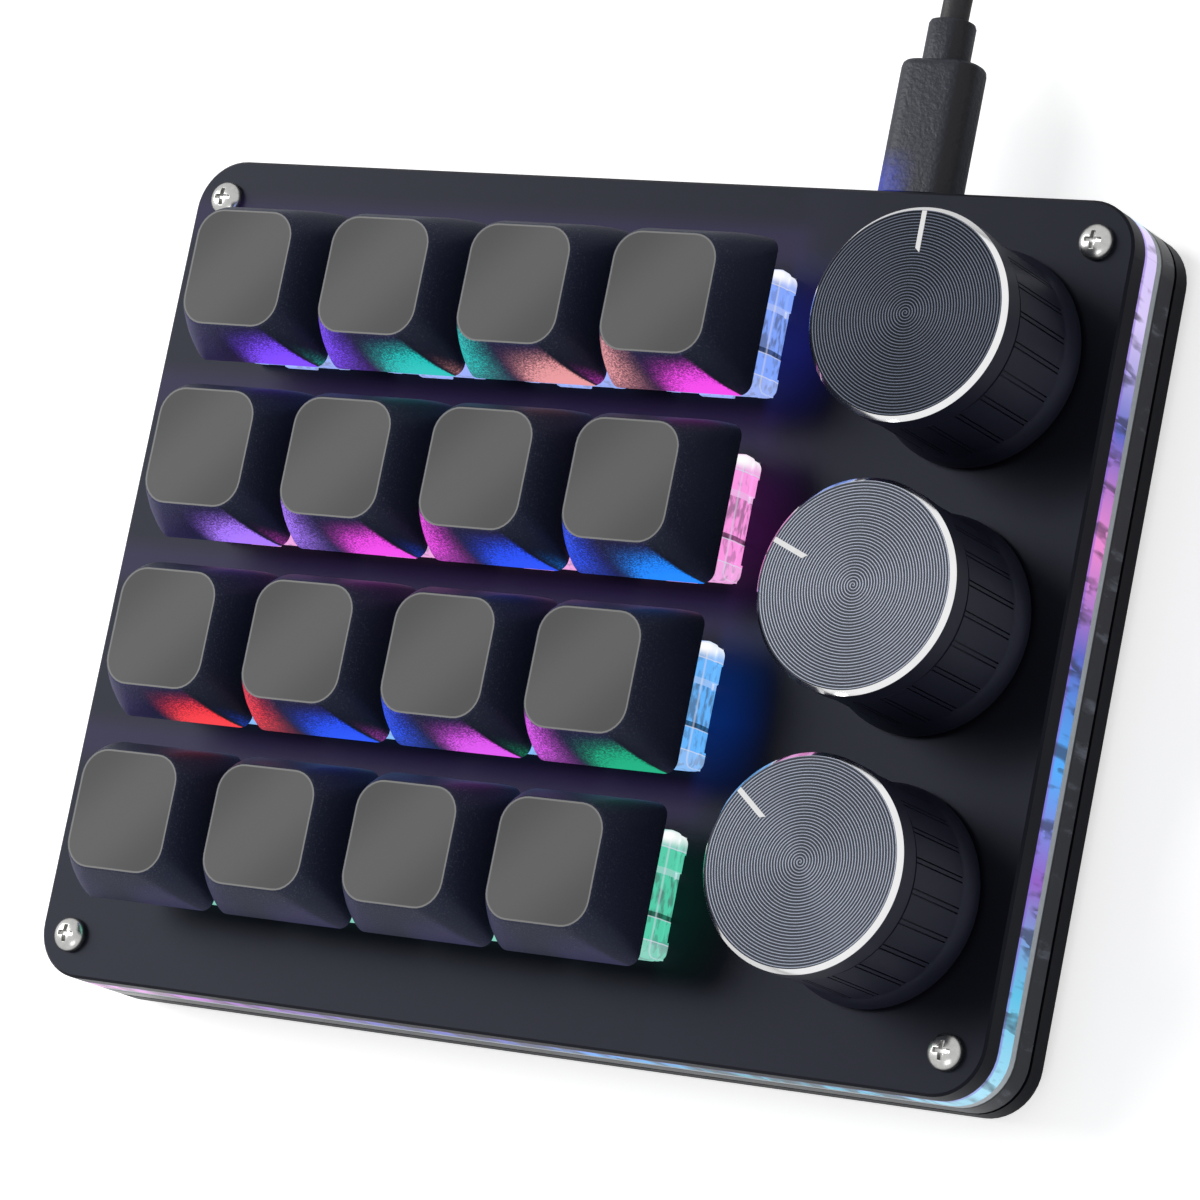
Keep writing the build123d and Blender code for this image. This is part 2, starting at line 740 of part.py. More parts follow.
with BuildPart() as host_plug:
    with BuildSketch(host_face.offset(host_relief_gap)):
        Circle(host_relief_tip_radius)
    with BuildSketch(host_face.offset(host_relief_length)):
        Circle(host_relief_foot_radius)
    loft(ruled=True)
    with BuildSketch(host_face.offset(host_relief_length)):
        RectangleRounded(host_body_width, 2 * host_plug_z, host_body_radius)
    extrude(amount=host_body_length)
    with BuildSketch(host_face.offset(host_relief_length + host_body_length)):
        Rectangle(host_shell_width, host_shell_height)
    extrude(amount=host_shell_length)
host_plug.part.label = "host_plug"
export_step(host_plug.part, "parts/host_plug.step")
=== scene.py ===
import math

import bmesh
import bpy
from mathutils import Matrix, Vector


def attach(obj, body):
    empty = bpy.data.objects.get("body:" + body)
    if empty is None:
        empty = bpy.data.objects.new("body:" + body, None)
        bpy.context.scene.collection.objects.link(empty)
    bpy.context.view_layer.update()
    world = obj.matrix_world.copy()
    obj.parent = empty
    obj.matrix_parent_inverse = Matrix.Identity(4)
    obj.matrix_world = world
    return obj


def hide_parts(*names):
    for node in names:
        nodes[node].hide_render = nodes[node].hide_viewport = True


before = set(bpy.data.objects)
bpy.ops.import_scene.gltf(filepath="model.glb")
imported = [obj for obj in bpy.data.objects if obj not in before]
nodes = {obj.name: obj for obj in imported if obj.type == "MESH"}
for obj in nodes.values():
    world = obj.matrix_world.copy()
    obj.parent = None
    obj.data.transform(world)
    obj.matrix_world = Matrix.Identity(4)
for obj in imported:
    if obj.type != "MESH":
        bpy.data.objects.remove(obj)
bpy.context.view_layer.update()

# A macro keypad: sixteen lit key switches and three knobs on one circuit board, between
# two black metal plates and two clear acrylic frames. The sections follow its assembly,
# from the desk upwards. Lengths are in metres where they are multiplied by mm, and in
# millimetres elsewhere.
mm = 0.001

# ---- view ----
# The keypad is seen from its front right-hand corner and from well above, through a
# long lens, so that its edges stay nearly parallel.
camera_place = Vector((351.46, -109.19, 561.08)) * mm
camera_right = Vector((0.8447, 0.1927, -0.4993))
camera_up = Vector((-0.0767, 0.9669, 0.2435))
camera_back = Vector((0.5297, -0.1674, 0.8315))

camera_lens = bpy.data.cameras.new("camera")
camera_lens.sensor_width = 36.0
camera_lens.lens = 174.3
camera = bpy.data.objects.new("camera", camera_lens)
camera_turn = Matrix((camera_right, camera_up, camera_back)).transposed()
camera.matrix_world = Matrix.Translation(camera_place) @ camera_turn.to_4x4()
bpy.context.scene.collection.objects.link(camera)
bpy.context.scene.camera = camera
bpy.context.scene.view_settings.view_transform = "Standard"


# ---- floor ----
# A wide sheet of matt white card that the keypad stands on. It shines for the camera
# alone, so that its far edges stay white and the keypad's black edges don't mirror it.
class Value:
    """A number that varies over a surface. Arithmetic on it adds Math nodes."""

    def __init__(self, finish, socket):
        self.finish, self.socket = finish, socket

    def math(self, operation, *others):
        sockets = dict(enumerate((self, *others)))
        return self.finish.node("ShaderNodeMath", {"operation": operation}, sockets)

    def __add__(self, other):
        return self.math("ADD", other)

    def __sub__(self, other):
        return self.math("SUBTRACT", other)

    def __rsub__(self, other):
        return self.math("MULTIPLY_ADD", -1.0, other)

    def __mul__(self, other):
        return self.math("MULTIPLY", other)

    def __pow__(self, other):
        return self.math("POWER", other)

    __radd__ = __add__
    __rmul__ = __mul__


class Finish:
    """A material. What is the same all over is set on the shader's own sockets."""

    def __init__(self, name, **constants):
        self.material = bpy.data.materials.new(name)
        self.material.use_nodes = True
        self.tree = self.material.node_tree
        self.shader = self.tree.nodes["Principled BSDF"]
        for words, value in constants.items():
            self.shader.inputs[words.replace("_", " ")].default_value = value

    def node(self, kind, settings, sockets, output=0):
        """Adds a node: its settings first, then the values or links of its sockets."""
        made = self.tree.nodes.new(kind)
        for name, value in settings.items():
            if name == "stops":
                ramp = made.color_ramp
                while len(ramp.elements) < len(value):
                    ramp.elements.new(0.5)
                for element, (position, colour) in zip(ramp.elements, value):
                    element.position, element.color = position, (*colour, 1.0)
            elif name == "interpolation" and kind == "ShaderNodeValToRGB":
                made.color_ramp.interpolation = value
            else:
                setattr(made, name, value)
        for name, value in sockets.items():
            if isinstance(value, Value):
                self.tree.links.new(value.socket, made.inputs[name])
            else:
                made.inputs[name].default_value = value
        return Value(self, made.outputs[output])

    def vary(self, **links):
        for words, value in links.items():
            self.tree.links.new(value.socket, self.shader.inputs[words.replace("_", " ")])

    def place(self):
        return self.node("ShaderNodeTexCoord", {}, {}, output="Object")

    def axes(self, vector):
        sockets = {0: vector}
        return [self.node("ShaderNodeSeparateXYZ", {}, sockets, output=i) for i in range(3)]

    def noise(self, size, detail=2.0, vector=None):
        sockets = {"Vector": vector or self.place(), "Scale": 1 / size, "Detail": detail}
        return self.node("ShaderNodeTexNoise", {}, sockets)

    def spread(self, value, low, high, out_low=0.0, out_high=1.0):
        """A smooth step from out_low to out_high as the value goes from low to high."""
        settings = {"interpolation_type": "SMOOTHSTEP"}
        sockets = {0: value, 1: low, 2: high, 3: out_low, 4: out_high}
        return self.node("ShaderNodeMapRange", settings, sockets)

    def ramp(self, value, stops, interpolation="LINEAR"):
        settings = {"stops": stops, "interpolation": interpolation}
        return self.node("ShaderNodeValToRGB", settings, {0: value})

    def mix(self, share, first, second, blend="MIX"):
        settings = {"data_type": "RGBA", "blend_type": blend}
        first, second = ((*c, 1.0) if isinstance(c, tuple) else c for c in (first, second))
        return self.node("ShaderNodeMix", settings, {0: share, 6: first, 7: second}, output=2)

    def clouded(self, size, dark, light):
        """Lets the base colour drift between two tones, in clouds of that size."""
        self.vary(Base_Color=self.mix(self.noise(size), dark, light))

    def bump(self, height, depth):
        """Roughens the surface: height goes from 0 to 1, over that depth."""
        sockets = {"Strength": 1.0, "Distance": depth, "Height": height}
        self.vary(Normal=self.node("ShaderNodeBump", {}, sockets))


def dress(piece, *finishes):
    """Gives a piece its finishes, one for each of its material slots."""
    piece.data.materials.clear()
    for finish in finishes:
        piece.data.materials.append(finish.material)


floor_size = 8.0
card_shine = (0.60, 0.60, 0.60)

bpy.ops.object.select_all(action="DESELECT")
bpy.ops.mesh.primitive_plane_add(size=floor_size)
floor = bpy.context.object
floor.name = "floor"
card = Finish("white_card", Roughness=0.9, Specular_IOR_Level=0.1, Emission_Strength=1.0)
card.clouded(40 * mm, (0.90, 0.90, 0.90), (0.92, 0.92, 0.92))
seen = card.node("ShaderNodeLightPath", {}, {}, output="Is Camera Ray")
card.vary(Emission_Color=card.mix(seen, (0.0, 0.0, 0.0), card_shine))
dress(floor, card)

# ---- studio light ----
# A large softbox stands beyond the left edge, where the black plates mirror it from the
# left and fade towards the right. A weaker one stands in front, in an even white room.
room_fill = 0.30
lamps = (  # name, place, width and height, power
    ("softbox_left", (-0.88, 0.19, 0.78), (0.60, 1.10), 11.0),
    ("softbox_front", (0.25, -0.85, 0.85), (0.50, 0.50), 2.0),
)

for name, place, (width, height), power in lamps:
    lamp = bpy.data.lights.new(name, "AREA")
    lamp.shape = "RECTANGLE"
    lamp.size, lamp.size_y, lamp.energy = width, height, power
    lamp_object = bpy.data.objects.new(name, lamp)
    lamp_object.location = place
    lamp_object.rotation_euler = (-Vector(place)).to_track_quat("-Z", "Y").to_euler()
    bpy.context.scene.collection.objects.link(lamp_object)

room = bpy.data.worlds.new("room")
room.use_nodes = True
bpy.context.scene.world = room
room_light = room.node_tree.nodes["Background"]
room_ray = room.node_tree.nodes.new("ShaderNodeLightPath")
room_level = room.node_tree.nodes.new("ShaderNodeMapRange")
room_level.inputs["To Min"].default_value = 1.0
room_level.inputs["To Max"].default_value = room_fill
room.node_tree.links.new(room_ray.outputs["Is Diffuse Ray"], room_level.inputs["Value"])
room.node_tree.links.new(room_level.outputs["Result"], room_light.inputs["Strength"])
room_light.inputs["Color"].default_value = (1.0, 1.0, 1.0, 1.0)

# ---- rubber feet ----
# Four low cones of black rubber, glued under the bottom plate, which keep the keypad
# from sliding.
foot_rubber = Finish("foot_rubber", Roughness=0.85, Specular_IOR_Level=0.3)
foot_rubber.clouded(1.5 * mm, (0.010, 0.010, 0.011), (0.024, 0.024, 0.026))
dress(nodes["rubber_feet"], foot_rubber)

# ---- bottom plate ----
# A black anodised aluminium plate with a matt, finely blasted surface. The points of the
# four long screws are threaded into it.
blast_grain = 0.12 * mm
blast_depth = 0.01 * mm
black_dark = (0.0046, 0.0050, 0.0080)
black_light = (0.0080, 0.0086, 0.0130)
cool_gloss = (0.70, 0.75, 1.0, 1.0)

bottom_black = Finish(
    "black_plate_below", Roughness=0.32, Specular_IOR_Level=0.12, Specular_Tint=cool_gloss
)
grain = bottom_black.noise(blast_grain)
bottom_black.vary(Base_Color=bottom_black.mix(grain, black_dark, black_light))
bottom_black.bump(grain, blast_depth)
dress(nodes["bottom_plate"], bottom_black)

# ---- acrylic frames ----
# Two clear acrylic frames with polished edges, one under and one over the circuit board.
# The light of the keys that fills the upper one is painted on its upright faces as glow,
# with a painted violet reflection of the plate at its top. The lower one is painted dark
# for the shade inside it, with pale, streaky painted reflections.
board_top_z = 10.2 * mm
half_width = 63.0 * mm
half_depth = 50.0 * mm
violet_rim = 2.5 * mm  # above the board, where the plate throws its violet back
dim_front = 0.55  # how bright the front is beside the right-hand side
edge_glow_colours = {
    "pale cyan": (0.40, 0.75, 0.90),
    "cyan": (0.08, 0.50, 0.75),
    "teal": (0.06, 0.35, 0.45),
    "azure": (0.05, 0.38, 0.92),
    "blue": (0.07, 0.10, 0.50),
    "violet": (0.25, 0.08, 0.50),
    "purple": (0.50, 0.10, 0.55),
    "pink": (0.80, 0.22, 0.60),
    "lavender": (0.65, 0.55, 0.90),
}
front_to_back = "pale cyan, cyan, violet, azure, blue, pink, blue, lavender, lavender"
left_to_right = "pink, purple, violet, blue, blue, azure, teal, cyan, pale cyan"


def even_stops(hues):
    """Gives each of the hues named in a line its place on a ramp, at even steps."""
    names = hues.split(", ")
    return [(step / (len(names) - 1), edge_glow_colours[name]) for step, name in enumerate(names)]


acrylic = Finish("clear_acrylic", Roughness=0.12, Emission_Strength=1.0)
place = acrylic.place()
across, along, height = acrylic.axes(place)
normal = acrylic.node("ShaderNodeNewGeometry", {}, {}, output="Normal")
facing_x, facing_y, facing_z = acrylic.axes(normal)
on_side = acrylic.spread(facing_x.math("ABSOLUTE"), 0.55, 0.75)
lit = acrylic.mix(
    on_side,
    acrylic.ramp(across.math("MULTIPLY_ADD", 0.5 / half_width, 0.5), even_stops(left_to_right)),
    acrylic.ramp(along.math("MULTIPLY_ADD", 0.5 / half_depth, 0.5), even_stops(front_to_back)),
)
upright_cells = acrylic.node(
    "ShaderNodeMapping", {}, {"Vector": place, "Scale": (1.0, 1.0, 0.25)}
)
cells = acrylic.spread(acrylic.noise(3.0 * mm, 3.0, upright_cells), 0.38, 0.60, 0.25, 1.6)
sparks = acrylic.spread(acrylic.noise(0.9 * mm, 1.0, upright_cells), 0.58, 0.70, 0.0, 1.2)
above_board = acrylic.spread(height, board_top_z - 0.5 * mm, board_top_z - 0.1 * mm)
upright = acrylic.spread(facing_z.math("ABSOLUTE"), 0.5, 0.8, 1.0, 0.0)
above_rim = height - (board_top_z + violet_rim)
under_plate = acrylic.spread(above_rim, -0.2 * mm, 0.2 * mm, 0.0, 0.6)
lit = acrylic.mix(under_plate, lit, (0.20, 0.08, 0.60))
# Painted shade and reflection: the lower frame is painted dark for the shade inside it, with
# pale, streaky painted reflections.
painted_reflection_streaks = acrylic.spread(acrylic.noise(2.0 * mm, 4.0, upright_cells), 0.55, 0.75)
painted_dark_inside = acrylic.mix(painted_reflection_streaks, (0.014, 0.017, 0.028), (0.16, 0.18, 0.23))
# Painted light: the glow of the keys on the upright faces above the board.
level = above_board * upright * (cells + sparks) * (on_side * (1 - dim_front) + dim_front)
acrylic.vary(
    Base_Color=acrylic.mix(above_board, painted_dark_inside, (0.05, 0.05, 0.08)),
    Emission_Color=acrylic.mix(level, (0.0, 0.0, 0.0), lit),
)
dress(nodes["acrylic_frames"], acrylic)

# ---- circuit board ----
# A glass-fibre board with white solder mask, darker towards the bottom of its edge, which
# carries the switches, the encoders, the USB socket and, underneath, the controller with
# its neighbours.
mask_depth = 1.1 * mm  # from the board's top down to its dark part

board_white = Finish("board_laminate", Roughness=0.45)
weave = board_white.noise(0.6 * mm)
white_mask = board_white.mix(weave, (0.55, 0.62, 0.68), (0.70, 0.76, 0.80))
above_dark_band = board_white.axes(board_white.place())[2] - (board_top_z - mask_depth)
upper_part = board_white.spread(above_dark_band, -0.1 * mm, 0.1 * mm)
board_white.vary(Base_Color=board_white.mix(upper_part, (0.010, 0.011, 0.014), white_mask))
dress(nodes["circuit_board"], board_white)

# ---- key lights ----
# One low square light behind each switch, soldered to the board: three coloured chips in
# a white cup under a clear lens.
light_lens = Finish("light_lens", Roughness=0.2, Emission_Strength=1.5)
lens_cloud = light_lens.noise(1.0 * mm)
light_lens.vary(
    Base_Color=light_lens.mix(lens_cloud, (0.85, 0.85, 0.88), (0.95, 0.95, 0.95)),
    Emission_Color=light_lens.mix(lens_cloud, (0.55, 0.50, 1.0), (0.8, 0.7, 1.0)),
)
dress(nodes["key_lights"], light_lens)

# ---- lower switch housings ----
# A moulded box clipped into each cut-out of the top plate. Its flange lies on the plate,
# with a thick block at each corner and thinner walls and lugs between them. It is milky
# and clear; the light beneath, which shines through it, is painted into it as glow, with
# a painted hot spot at its back right-hand corner and painted highlights along each seam
# and its rim.
deck_z = 16.2
column_pitch = 19.05
row_pitch = 21.5
first_key = (-42.525, 32.25)
key_places = {
    f"r{row + 1}c{column + 1}": Vector(
        (first_key[0] + column * column_pitch, first_key[1] - row * row_pitch, deck_z)
    )
    for row in range(4)
    for column in range(4)
}
flange_half = 7.3
flange_end = 7.1  # the same towards the front and the back
corner_block = 2.2
corner_height = 1.4
corner_round = 1.1
corner_edge = 0.2
wall_segments = (  # between the corner blocks: start, end, outside, height
    (-5.3, -2.7, 7.1, 1.1),
    (-2.7, 2.1, 7.0, 0.9),
    (2.1, 2.9, 6.8, 1.25),
    (2.9, 5.2, 7.2, 1.0),
)
wall_inside = 6.1
clip_half = 2.15
clip_reach = 7.6
box_half = 6.95
box_depth = 5.0
post_radius = 1.95
post_length = 3.3
well_half = 5.95  # the hollow that the stem and its spring slide in
well_depth = 4.2
bore_radius = 1.1
bore_depth = 7.6
pin_places = ((3.81, -2.54), (-2.54, -5.08))
pin_half = (0.6, 0.2)
row_lights = [  # from the front row to the back one
    (0.00, (0.01, 0.58, 0.33)),
    (0.25, (0.06, 0.42, 0.98)),
    (0.50, (1.00, 0.26, 0.74)),
    (0.75, (0.16, 0.33, 0.98)),
]
wall_glows = (  # along each flange from its front end: start, brightness, whiteness
    (-10.0, 0.85, 0.30),
    (-5.3, 1.00, 0.10),
    (-2.7, 0.15, 0.00),
    (-2.1, 0.62, 0.10),
    (2.1, 1.50, 0.40),
    (2.9, 1.20, 0.12),
    (5.2, 1.10, 0.40),
)
seam_places = (-5.3, -2.7, 5.2)
rim_place = 6.78
hot_spot_place = 6.5
hot_spot_radii = (0.2, 1.3)


def add_block(low, high, rounding=0.0, steps=2):
    """Adds a box between two corners, in millimetres, with all its edges rounded."""
    bpy.ops.object.select_all(action="DESELECT")
    bpy.ops.mesh.primitive_cube_add(size=1.0)
    block = bpy.context.object
    middle, size = (Vector(low) + Vector(high)) / 2, Vector(high) - Vector(low)
    block.data.transform(Matrix.Diagonal((*(size * mm), 1.0)))
    block.data.transform(Matrix.Translation(middle * mm))
    if rounding:
        bpy.ops.object.mode_set(mode="EDIT")
        bpy.ops.mesh.bevel(offset=rounding * mm, segments=steps, affect="EDGES")
        bpy.ops.object.mode_set(mode="OBJECT")
    return block


def select(piece, kind, wanted):
    """In edit mode, selects only the faces or edges for which wanted(element) holds."""
    bpy.ops.mesh.select_mode(type="FACE" if kind == "faces" else "EDGE")
    bpy.ops.mesh.select_all(action="DESELECT")
    shape = bmesh.from_edit_mesh(piece.data)
    for element in getattr(shape, kind):
        if wanted(element):
            element.select_set(True)
    bmesh.update_edit_mesh(piece.data)


def join(name, pieces):
    """Makes one named piece of several."""
    bpy.ops.object.select_all(action="DESELECT")
    for piece in pieces:
        piece.select_set(True)
    bpy.context.view_layer.objects.active = pieces[0]
    if len(pieces) > 1:
        bpy.ops.object.join()
    pieces[0].name = pieces[0].data.name = name
    return pieces[0]


def copy_to(piece, place, name):
    """A copy with its own mesh, moved there by a matrix or by a place in millimetres."""
    made = piece.copy()
    made.data = piece.data.copy()
    made.name = made.data.name = name
    bpy.context.scene.collection.objects.link(made)
    if not isinstance(place, Matrix):
        place = Matrix.Translation(Vector(place) * mm)
    made.data.transform(place)
    return made


def smooth(piece, degrees=35.0):
    """Shades a piece smoothly, apart from its sharper edges."""
    bpy.ops.object.select_all(action="DESELECT")
    piece.select_set(True)
    bpy.context.view_layer.objects.active = piece
    bpy.ops.object.shade_smooth_by_angle(angle=math.radians(degrees))


def apply(piece, kind, **settings):
    """Adds a modifier to a piece and applies it."""
    bpy.ops.object.select_all(action="DESELECT")
    piece.select_set(True)
    bpy.context.view_layer.objects.active = piece
    modifier = piece.modifiers.new(kind.lower(), kind)
    for name, value in settings.items():
        setattr(modifier, name, value)
    bpy.ops.object.modifier_apply(modifier=modifier.name)


flange_sides = []
for quarter in range(4):
    corner = add_block(
        (flange_half - corner_block, flange_half - corner_block, 0.0),
        (flange_half, flange_half, corner_height),
    )
    bpy.ops.object.mode_set(mode="EDIT")
    outer = (flange_half - 0.1) * mm
    select(corner, "edges", lambda edge: min(min(point.co.xy) for point in edge.verts) > outer)
    bpy.ops.mesh.bevel(offset=corner_round * mm, segments=6, affect="EDGES")
    upper = (corner_height - 0.1) * mm
    select(corner, "edges", lambda edge: min(point.co.z for point in edge.verts) > upper)
    bpy.ops.mesh.bevel(offset=corner_edge * mm, segments=3, affect="EDGES")
    bpy.ops.object.mode_set(mode="OBJECT")
    side = [corner]
    for wall_start, wall_end, outside, wall_height in wall_segments:
        side.append(
            add_block((wall_inside, wall_start, 0.0), (outside, wall_end, wall_height), 0.08)
        )
    if quarter % 2:
        side.append(
            add_block((wall_inside, -clip_half, 0.0), (clip_reach, clip_half, 0.9), 0.1)
        )
    turned_side = join("flange_side", side)
    turned_side.data.transform(Matrix.Rotation(math.pi / 2 * quarter, 4, "Z"))
    turned_side.data.transform(Matrix.Diagonal((1.0, flange_end / flange_half, 1.0, 1.0)))
    flange_sides.append(turned_side)
box = add_block((-box_half, -box_half, -box_depth), (box_half, box_half, 0.35), 0.3)
pins = []
for x, y in pin_places:
    low = (x - pin_half[0], y - pin_half[1], -box_depth - post_length)
    pins.append(add_block(low, (x + pin_half[0], y + pin_half[1], -box_depth), 0.1))


def add_rod(radius, low, high, steps=32):
    """Adds an upright rod on the axis, between two heights in millimetres."""
    bpy.ops.object.select_all(action="DESELECT")
    bpy.ops.mesh.primitive_cylinder_add(
        vertices=steps,
        radius=radius * mm,
        depth=(high - low) * mm,
        location=(0.0, 0.0, (low + high) / 2 * mm),
    )
    rod = bpy.context.object
    bpy.ops.object.transform_apply(location=True)
    return rod


post = add_rod(post_radius, -box_depth - post_length, -box_depth + 0.1)
tub = join("tub", [box, post])
well = add_block((-well_half, -well_half, -well_depth), (well_half, well_half, 1.0))
well = join("well", [well, add_rod(bore_radius, -bore_depth, 1.5)])
apply(tub, "BOOLEAN", operation="DIFFERENCE", object=well, use_self=True)
bpy.data.objects.remove(well)
lower_housing = join("lower_housing", [tub, *pins, *flange_sides])

milky = Finish("switch_plastic", Roughness=0.3, Emission_Strength=1.0)
place = milky.place()
across, along, height = milky.axes(place)
half_pitch_x, half_pitch_y = column_pitch / 2 * mm, row_pitch / 2 * mm
from_axis_x = (across - first_key[0] * mm).math("WRAP", half_pitch_x, -half_pitch_x)
from_axis_y = (along - first_key[1] * mm).math("WRAP", half_pitch_y, -half_pitch_y)
row_light = milky.ramp(
    along.math("MULTIPLY_ADD", 1 / (4 * row_pitch * mm), 0.5), row_lights, "CONSTANT"
)
from_spot_x, from_spot_y = (
    (from_axis - hot_spot_place * mm) ** 2.0 for from_axis in (from_axis_x, from_axis_y)
)
near, far = (radius * mm for radius in hot_spot_radii)
hot_spot = milky.spread((from_spot_x + from_spot_y) ** 0.5, near, far, 1.0, 0.0)
wall_share = from_axis_y.math("MULTIPLY_ADD", 0.5 / half_pitch_y, 0.5)
wall_starts, *wall_levels = zip(*wall_glows)
brightness, whiteness = (
    milky.ramp(
        wall_share,
        [(0.5 + start / row_pitch, (level,) * 3) for start, level in zip(wall_starts, levels)],
        "CONSTANT",
    )
    for levels in wall_levels
)
# Painted highlights along each seam between the wall segments and along the rim.
seam_highlights = 0.0
for seam in seam_places:
    from_seam = (from_axis_y - seam * mm).math("ABSOLUTE")
    seam_highlights = milky.spread(from_seam, 0.04 * mm, 0.08 * mm, 0.6, 0.0) + seam_highlights
from_rim = (from_axis_x - rim_place * mm).math("ABSOLUTE")
rim_highlight = milky.spread(from_rim, 0.02 * mm, 0.07 * mm, 0.4, 0.0)
highlight_lines = (seam_highlights + rim_highlight).math("MINIMUM", 0.8)
streaked = milky.node("ShaderNodeMapping", {}, {"Vector": place, "Scale": (1.0, 0.4, 1.0)})
clouds = milky.spread(milky.noise(0.7 * mm, 3.0, streaked), 0.36, 0.64, 0.6, 1.9)
# Painted light: the glow of the lamp beneath, with a painted hot spot at the back right-hand
# corner.
glow = milky.mix(brightness * clouds, (0.0, 0.0, 0.0), row_light)
glow = milky.mix(whiteness + highlight_lines, glow, (0.62, 0.65, 0.78))
milky.vary(
    Base_Color=milky.mix(clouds, (0.04, 0.04, 0.05), (0.14, 0.14, 0.16)),
    Emission_Color=milky.mix(hot_spot, glow, (1.0, 1.0, 1.0)),
)
lower_housings = join(
    "switch_lower_housings_moulded",
    [copy_to(lower_housing, place, name) for name, place in key_places.items()],
)
bpy.data.objects.remove(lower_housing)
smooth(lower_housings)
dress(lower_housings, milky)
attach(lower_housings, "chassis")
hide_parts("switch_lower_housings")

# ---- upper switch housings ----
# A clear hood clipped over each lower housing, tapered to its top, with a window that
# the stem slides in.
hood_levels = [  # height, width, length, corner radius
    (1.0, 14.0, 14.6, 0.8),
    (2.2, 14.0, 14.6, 0.8),
    (2.6, 13.8, 14.4, 0.8),
    (6.3, 11.0, 11.8, 0.8),
    (6.6, 10.6, 11.4, 0.8),
]
hood_wall = 0.8
stem_window = (7.7, 6.1)
inside = 1e-3 * mm  # how far a point may be from where it is looked for
margin = 0.01 * mm  # the same for the middle of a face


def lies_at(edge, heights):
    """Whether an edge is level and at one of the heights."""
    start, end = (point.co.z for point in edge.verts)
    return abs(start - end) < inside and min(abs(start - z) for z in heights) < inside


def not_below(height):
    """A test for the faces that lie at a height in millimetres, or higher."""
    return lambda face: face.calc_center_median().z > height * mm - margin


def not_above(height):
    """A test for the faces that lie at a height in millimetres, or lower."""
    return lambda face: face.calc_center_median().z < height * mm + margin


def lofted(name, levels, steps=6):
    """A shell through level rounded rectangles: height, width, length, corner radius."""
    bpy.ops.object.select_all(action="DESELECT")
    bpy.ops.mesh.primitive_plane_add(size=1.0)
    piece = bpy.context.object
    piece.name = piece.data.name = name
    bpy.ops.object.mode_set(mode="EDIT")
    middle = (0.0, 0.0, 0.0)
    for number, (height, width, length, radius) in enumerate(levels):
        if number:
            bpy.ops.mesh.select_all(action="DESELECT")
            bpy.ops.mesh.primitive_plane_add(size=1.0)
        size = (width * mm, length * mm, 1.0)
        bpy.ops.transform.resize(value=size, center_override=middle)
        bpy.ops.mesh.bevel(offset=radius * mm, segments=steps, affect="VERTICES")
        bpy.ops.transform.translate(value=(0.0, 0.0, height * mm))
    lowest, highest = levels[0][0] * mm + inside, levels[-1][0] * mm - inside
    select(piece, "faces", lambda face: lowest < face.verts[0].co.z < highest)
    bpy.ops.mesh.delete(type="ONLY_FACE")
    for low, high in zip(levels, levels[1:]):
        ends = (low[0] * mm, high[0] * mm)
        select(piece, "edges", lambda edge: lies_at(edge, ends))
        bpy.ops.mesh.bridge_edge_loops()
    bpy.ops.mesh.select_mode(type="FACE")
    bpy.ops.mesh.select_all(action="SELECT")
    bpy.ops.mesh.normals_make_consistent(inside=False)
    bpy.ops.object.mode_set(mode="OBJECT")
    return piece


hood = lofted("hood", hood_levels)
hood_foot = hood_levels[0][0]
hood_top, top_width, top_length, _ = hood_levels[-1]
bpy.ops.object.mode_set(mode="EDIT")
select(hood, "faces", not_below(hood_top))
bpy.ops.mesh.extrude_region_move()
bpy.ops.transform.resize(
    value=(stem_window[0] / top_width, stem_window[1] / top_length, 1.0),
    center_override=(0.0, 0.0, hood_top * mm),
)
bpy.ops.mesh.delete(type="FACE")
select(hood, "faces", not_above(hood_foot))
bpy.ops.mesh.delete(type="FACE")
bpy.ops.object.mode_set(mode="OBJECT")
apply(hood, "SOLIDIFY", thickness=hood_wall * mm, offset=-1.0)
upper_housings = join(
    "switch_upper_housings_moulded",
    [copy_to(hood, place, name) for name, place in key_places.items()],
)
bpy.data.objects.remove(hood)
smooth(upper_housings)
dress(upper_housings, milky)
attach(upper_housings, "chassis")
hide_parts("switch_upper_housings")

# ---- switch springs ----
# A steel coil spring under each stem, which fills the sleeve between its two radii. Its
# turns are drawn in light bands, with painted shade in the dark bands between them.
spring_steel = Finish("spring_steel", Metallic=1.0, Roughness=0.3)
wire_turn = 0.85 * mm
spring_height = spring_steel.axes(spring_steel.place())[2]
# Painted shade in the gaps between the drawn turns of the spring.
turns_and_gap_shade = spring_height.math("PINGPONG", wire_turn / 2) * (2 / wire_turn)
spring_steel.vary(
    Base_Color=spring_steel.mix(turns_and_gap_shade, (0.08, 0.08, 0.08), (0.60, 0.60, 0.62))
)
dress(nodes["switch_springs"], spring_steel)

# ---- key stems ----
# A sliding stem in each switch, moulded in red plastic, with the cross that the keycap
# is pressed on.
stem_red = Finish("stem_plastic", Roughness=0.4)
stem_red.clouded(0.8 * mm, (0.42, 0.02, 0.03), (0.50, 0.03, 0.04))
for name in key_places:
    dress(nodes[f"key_stem_{name}"], stem_red)

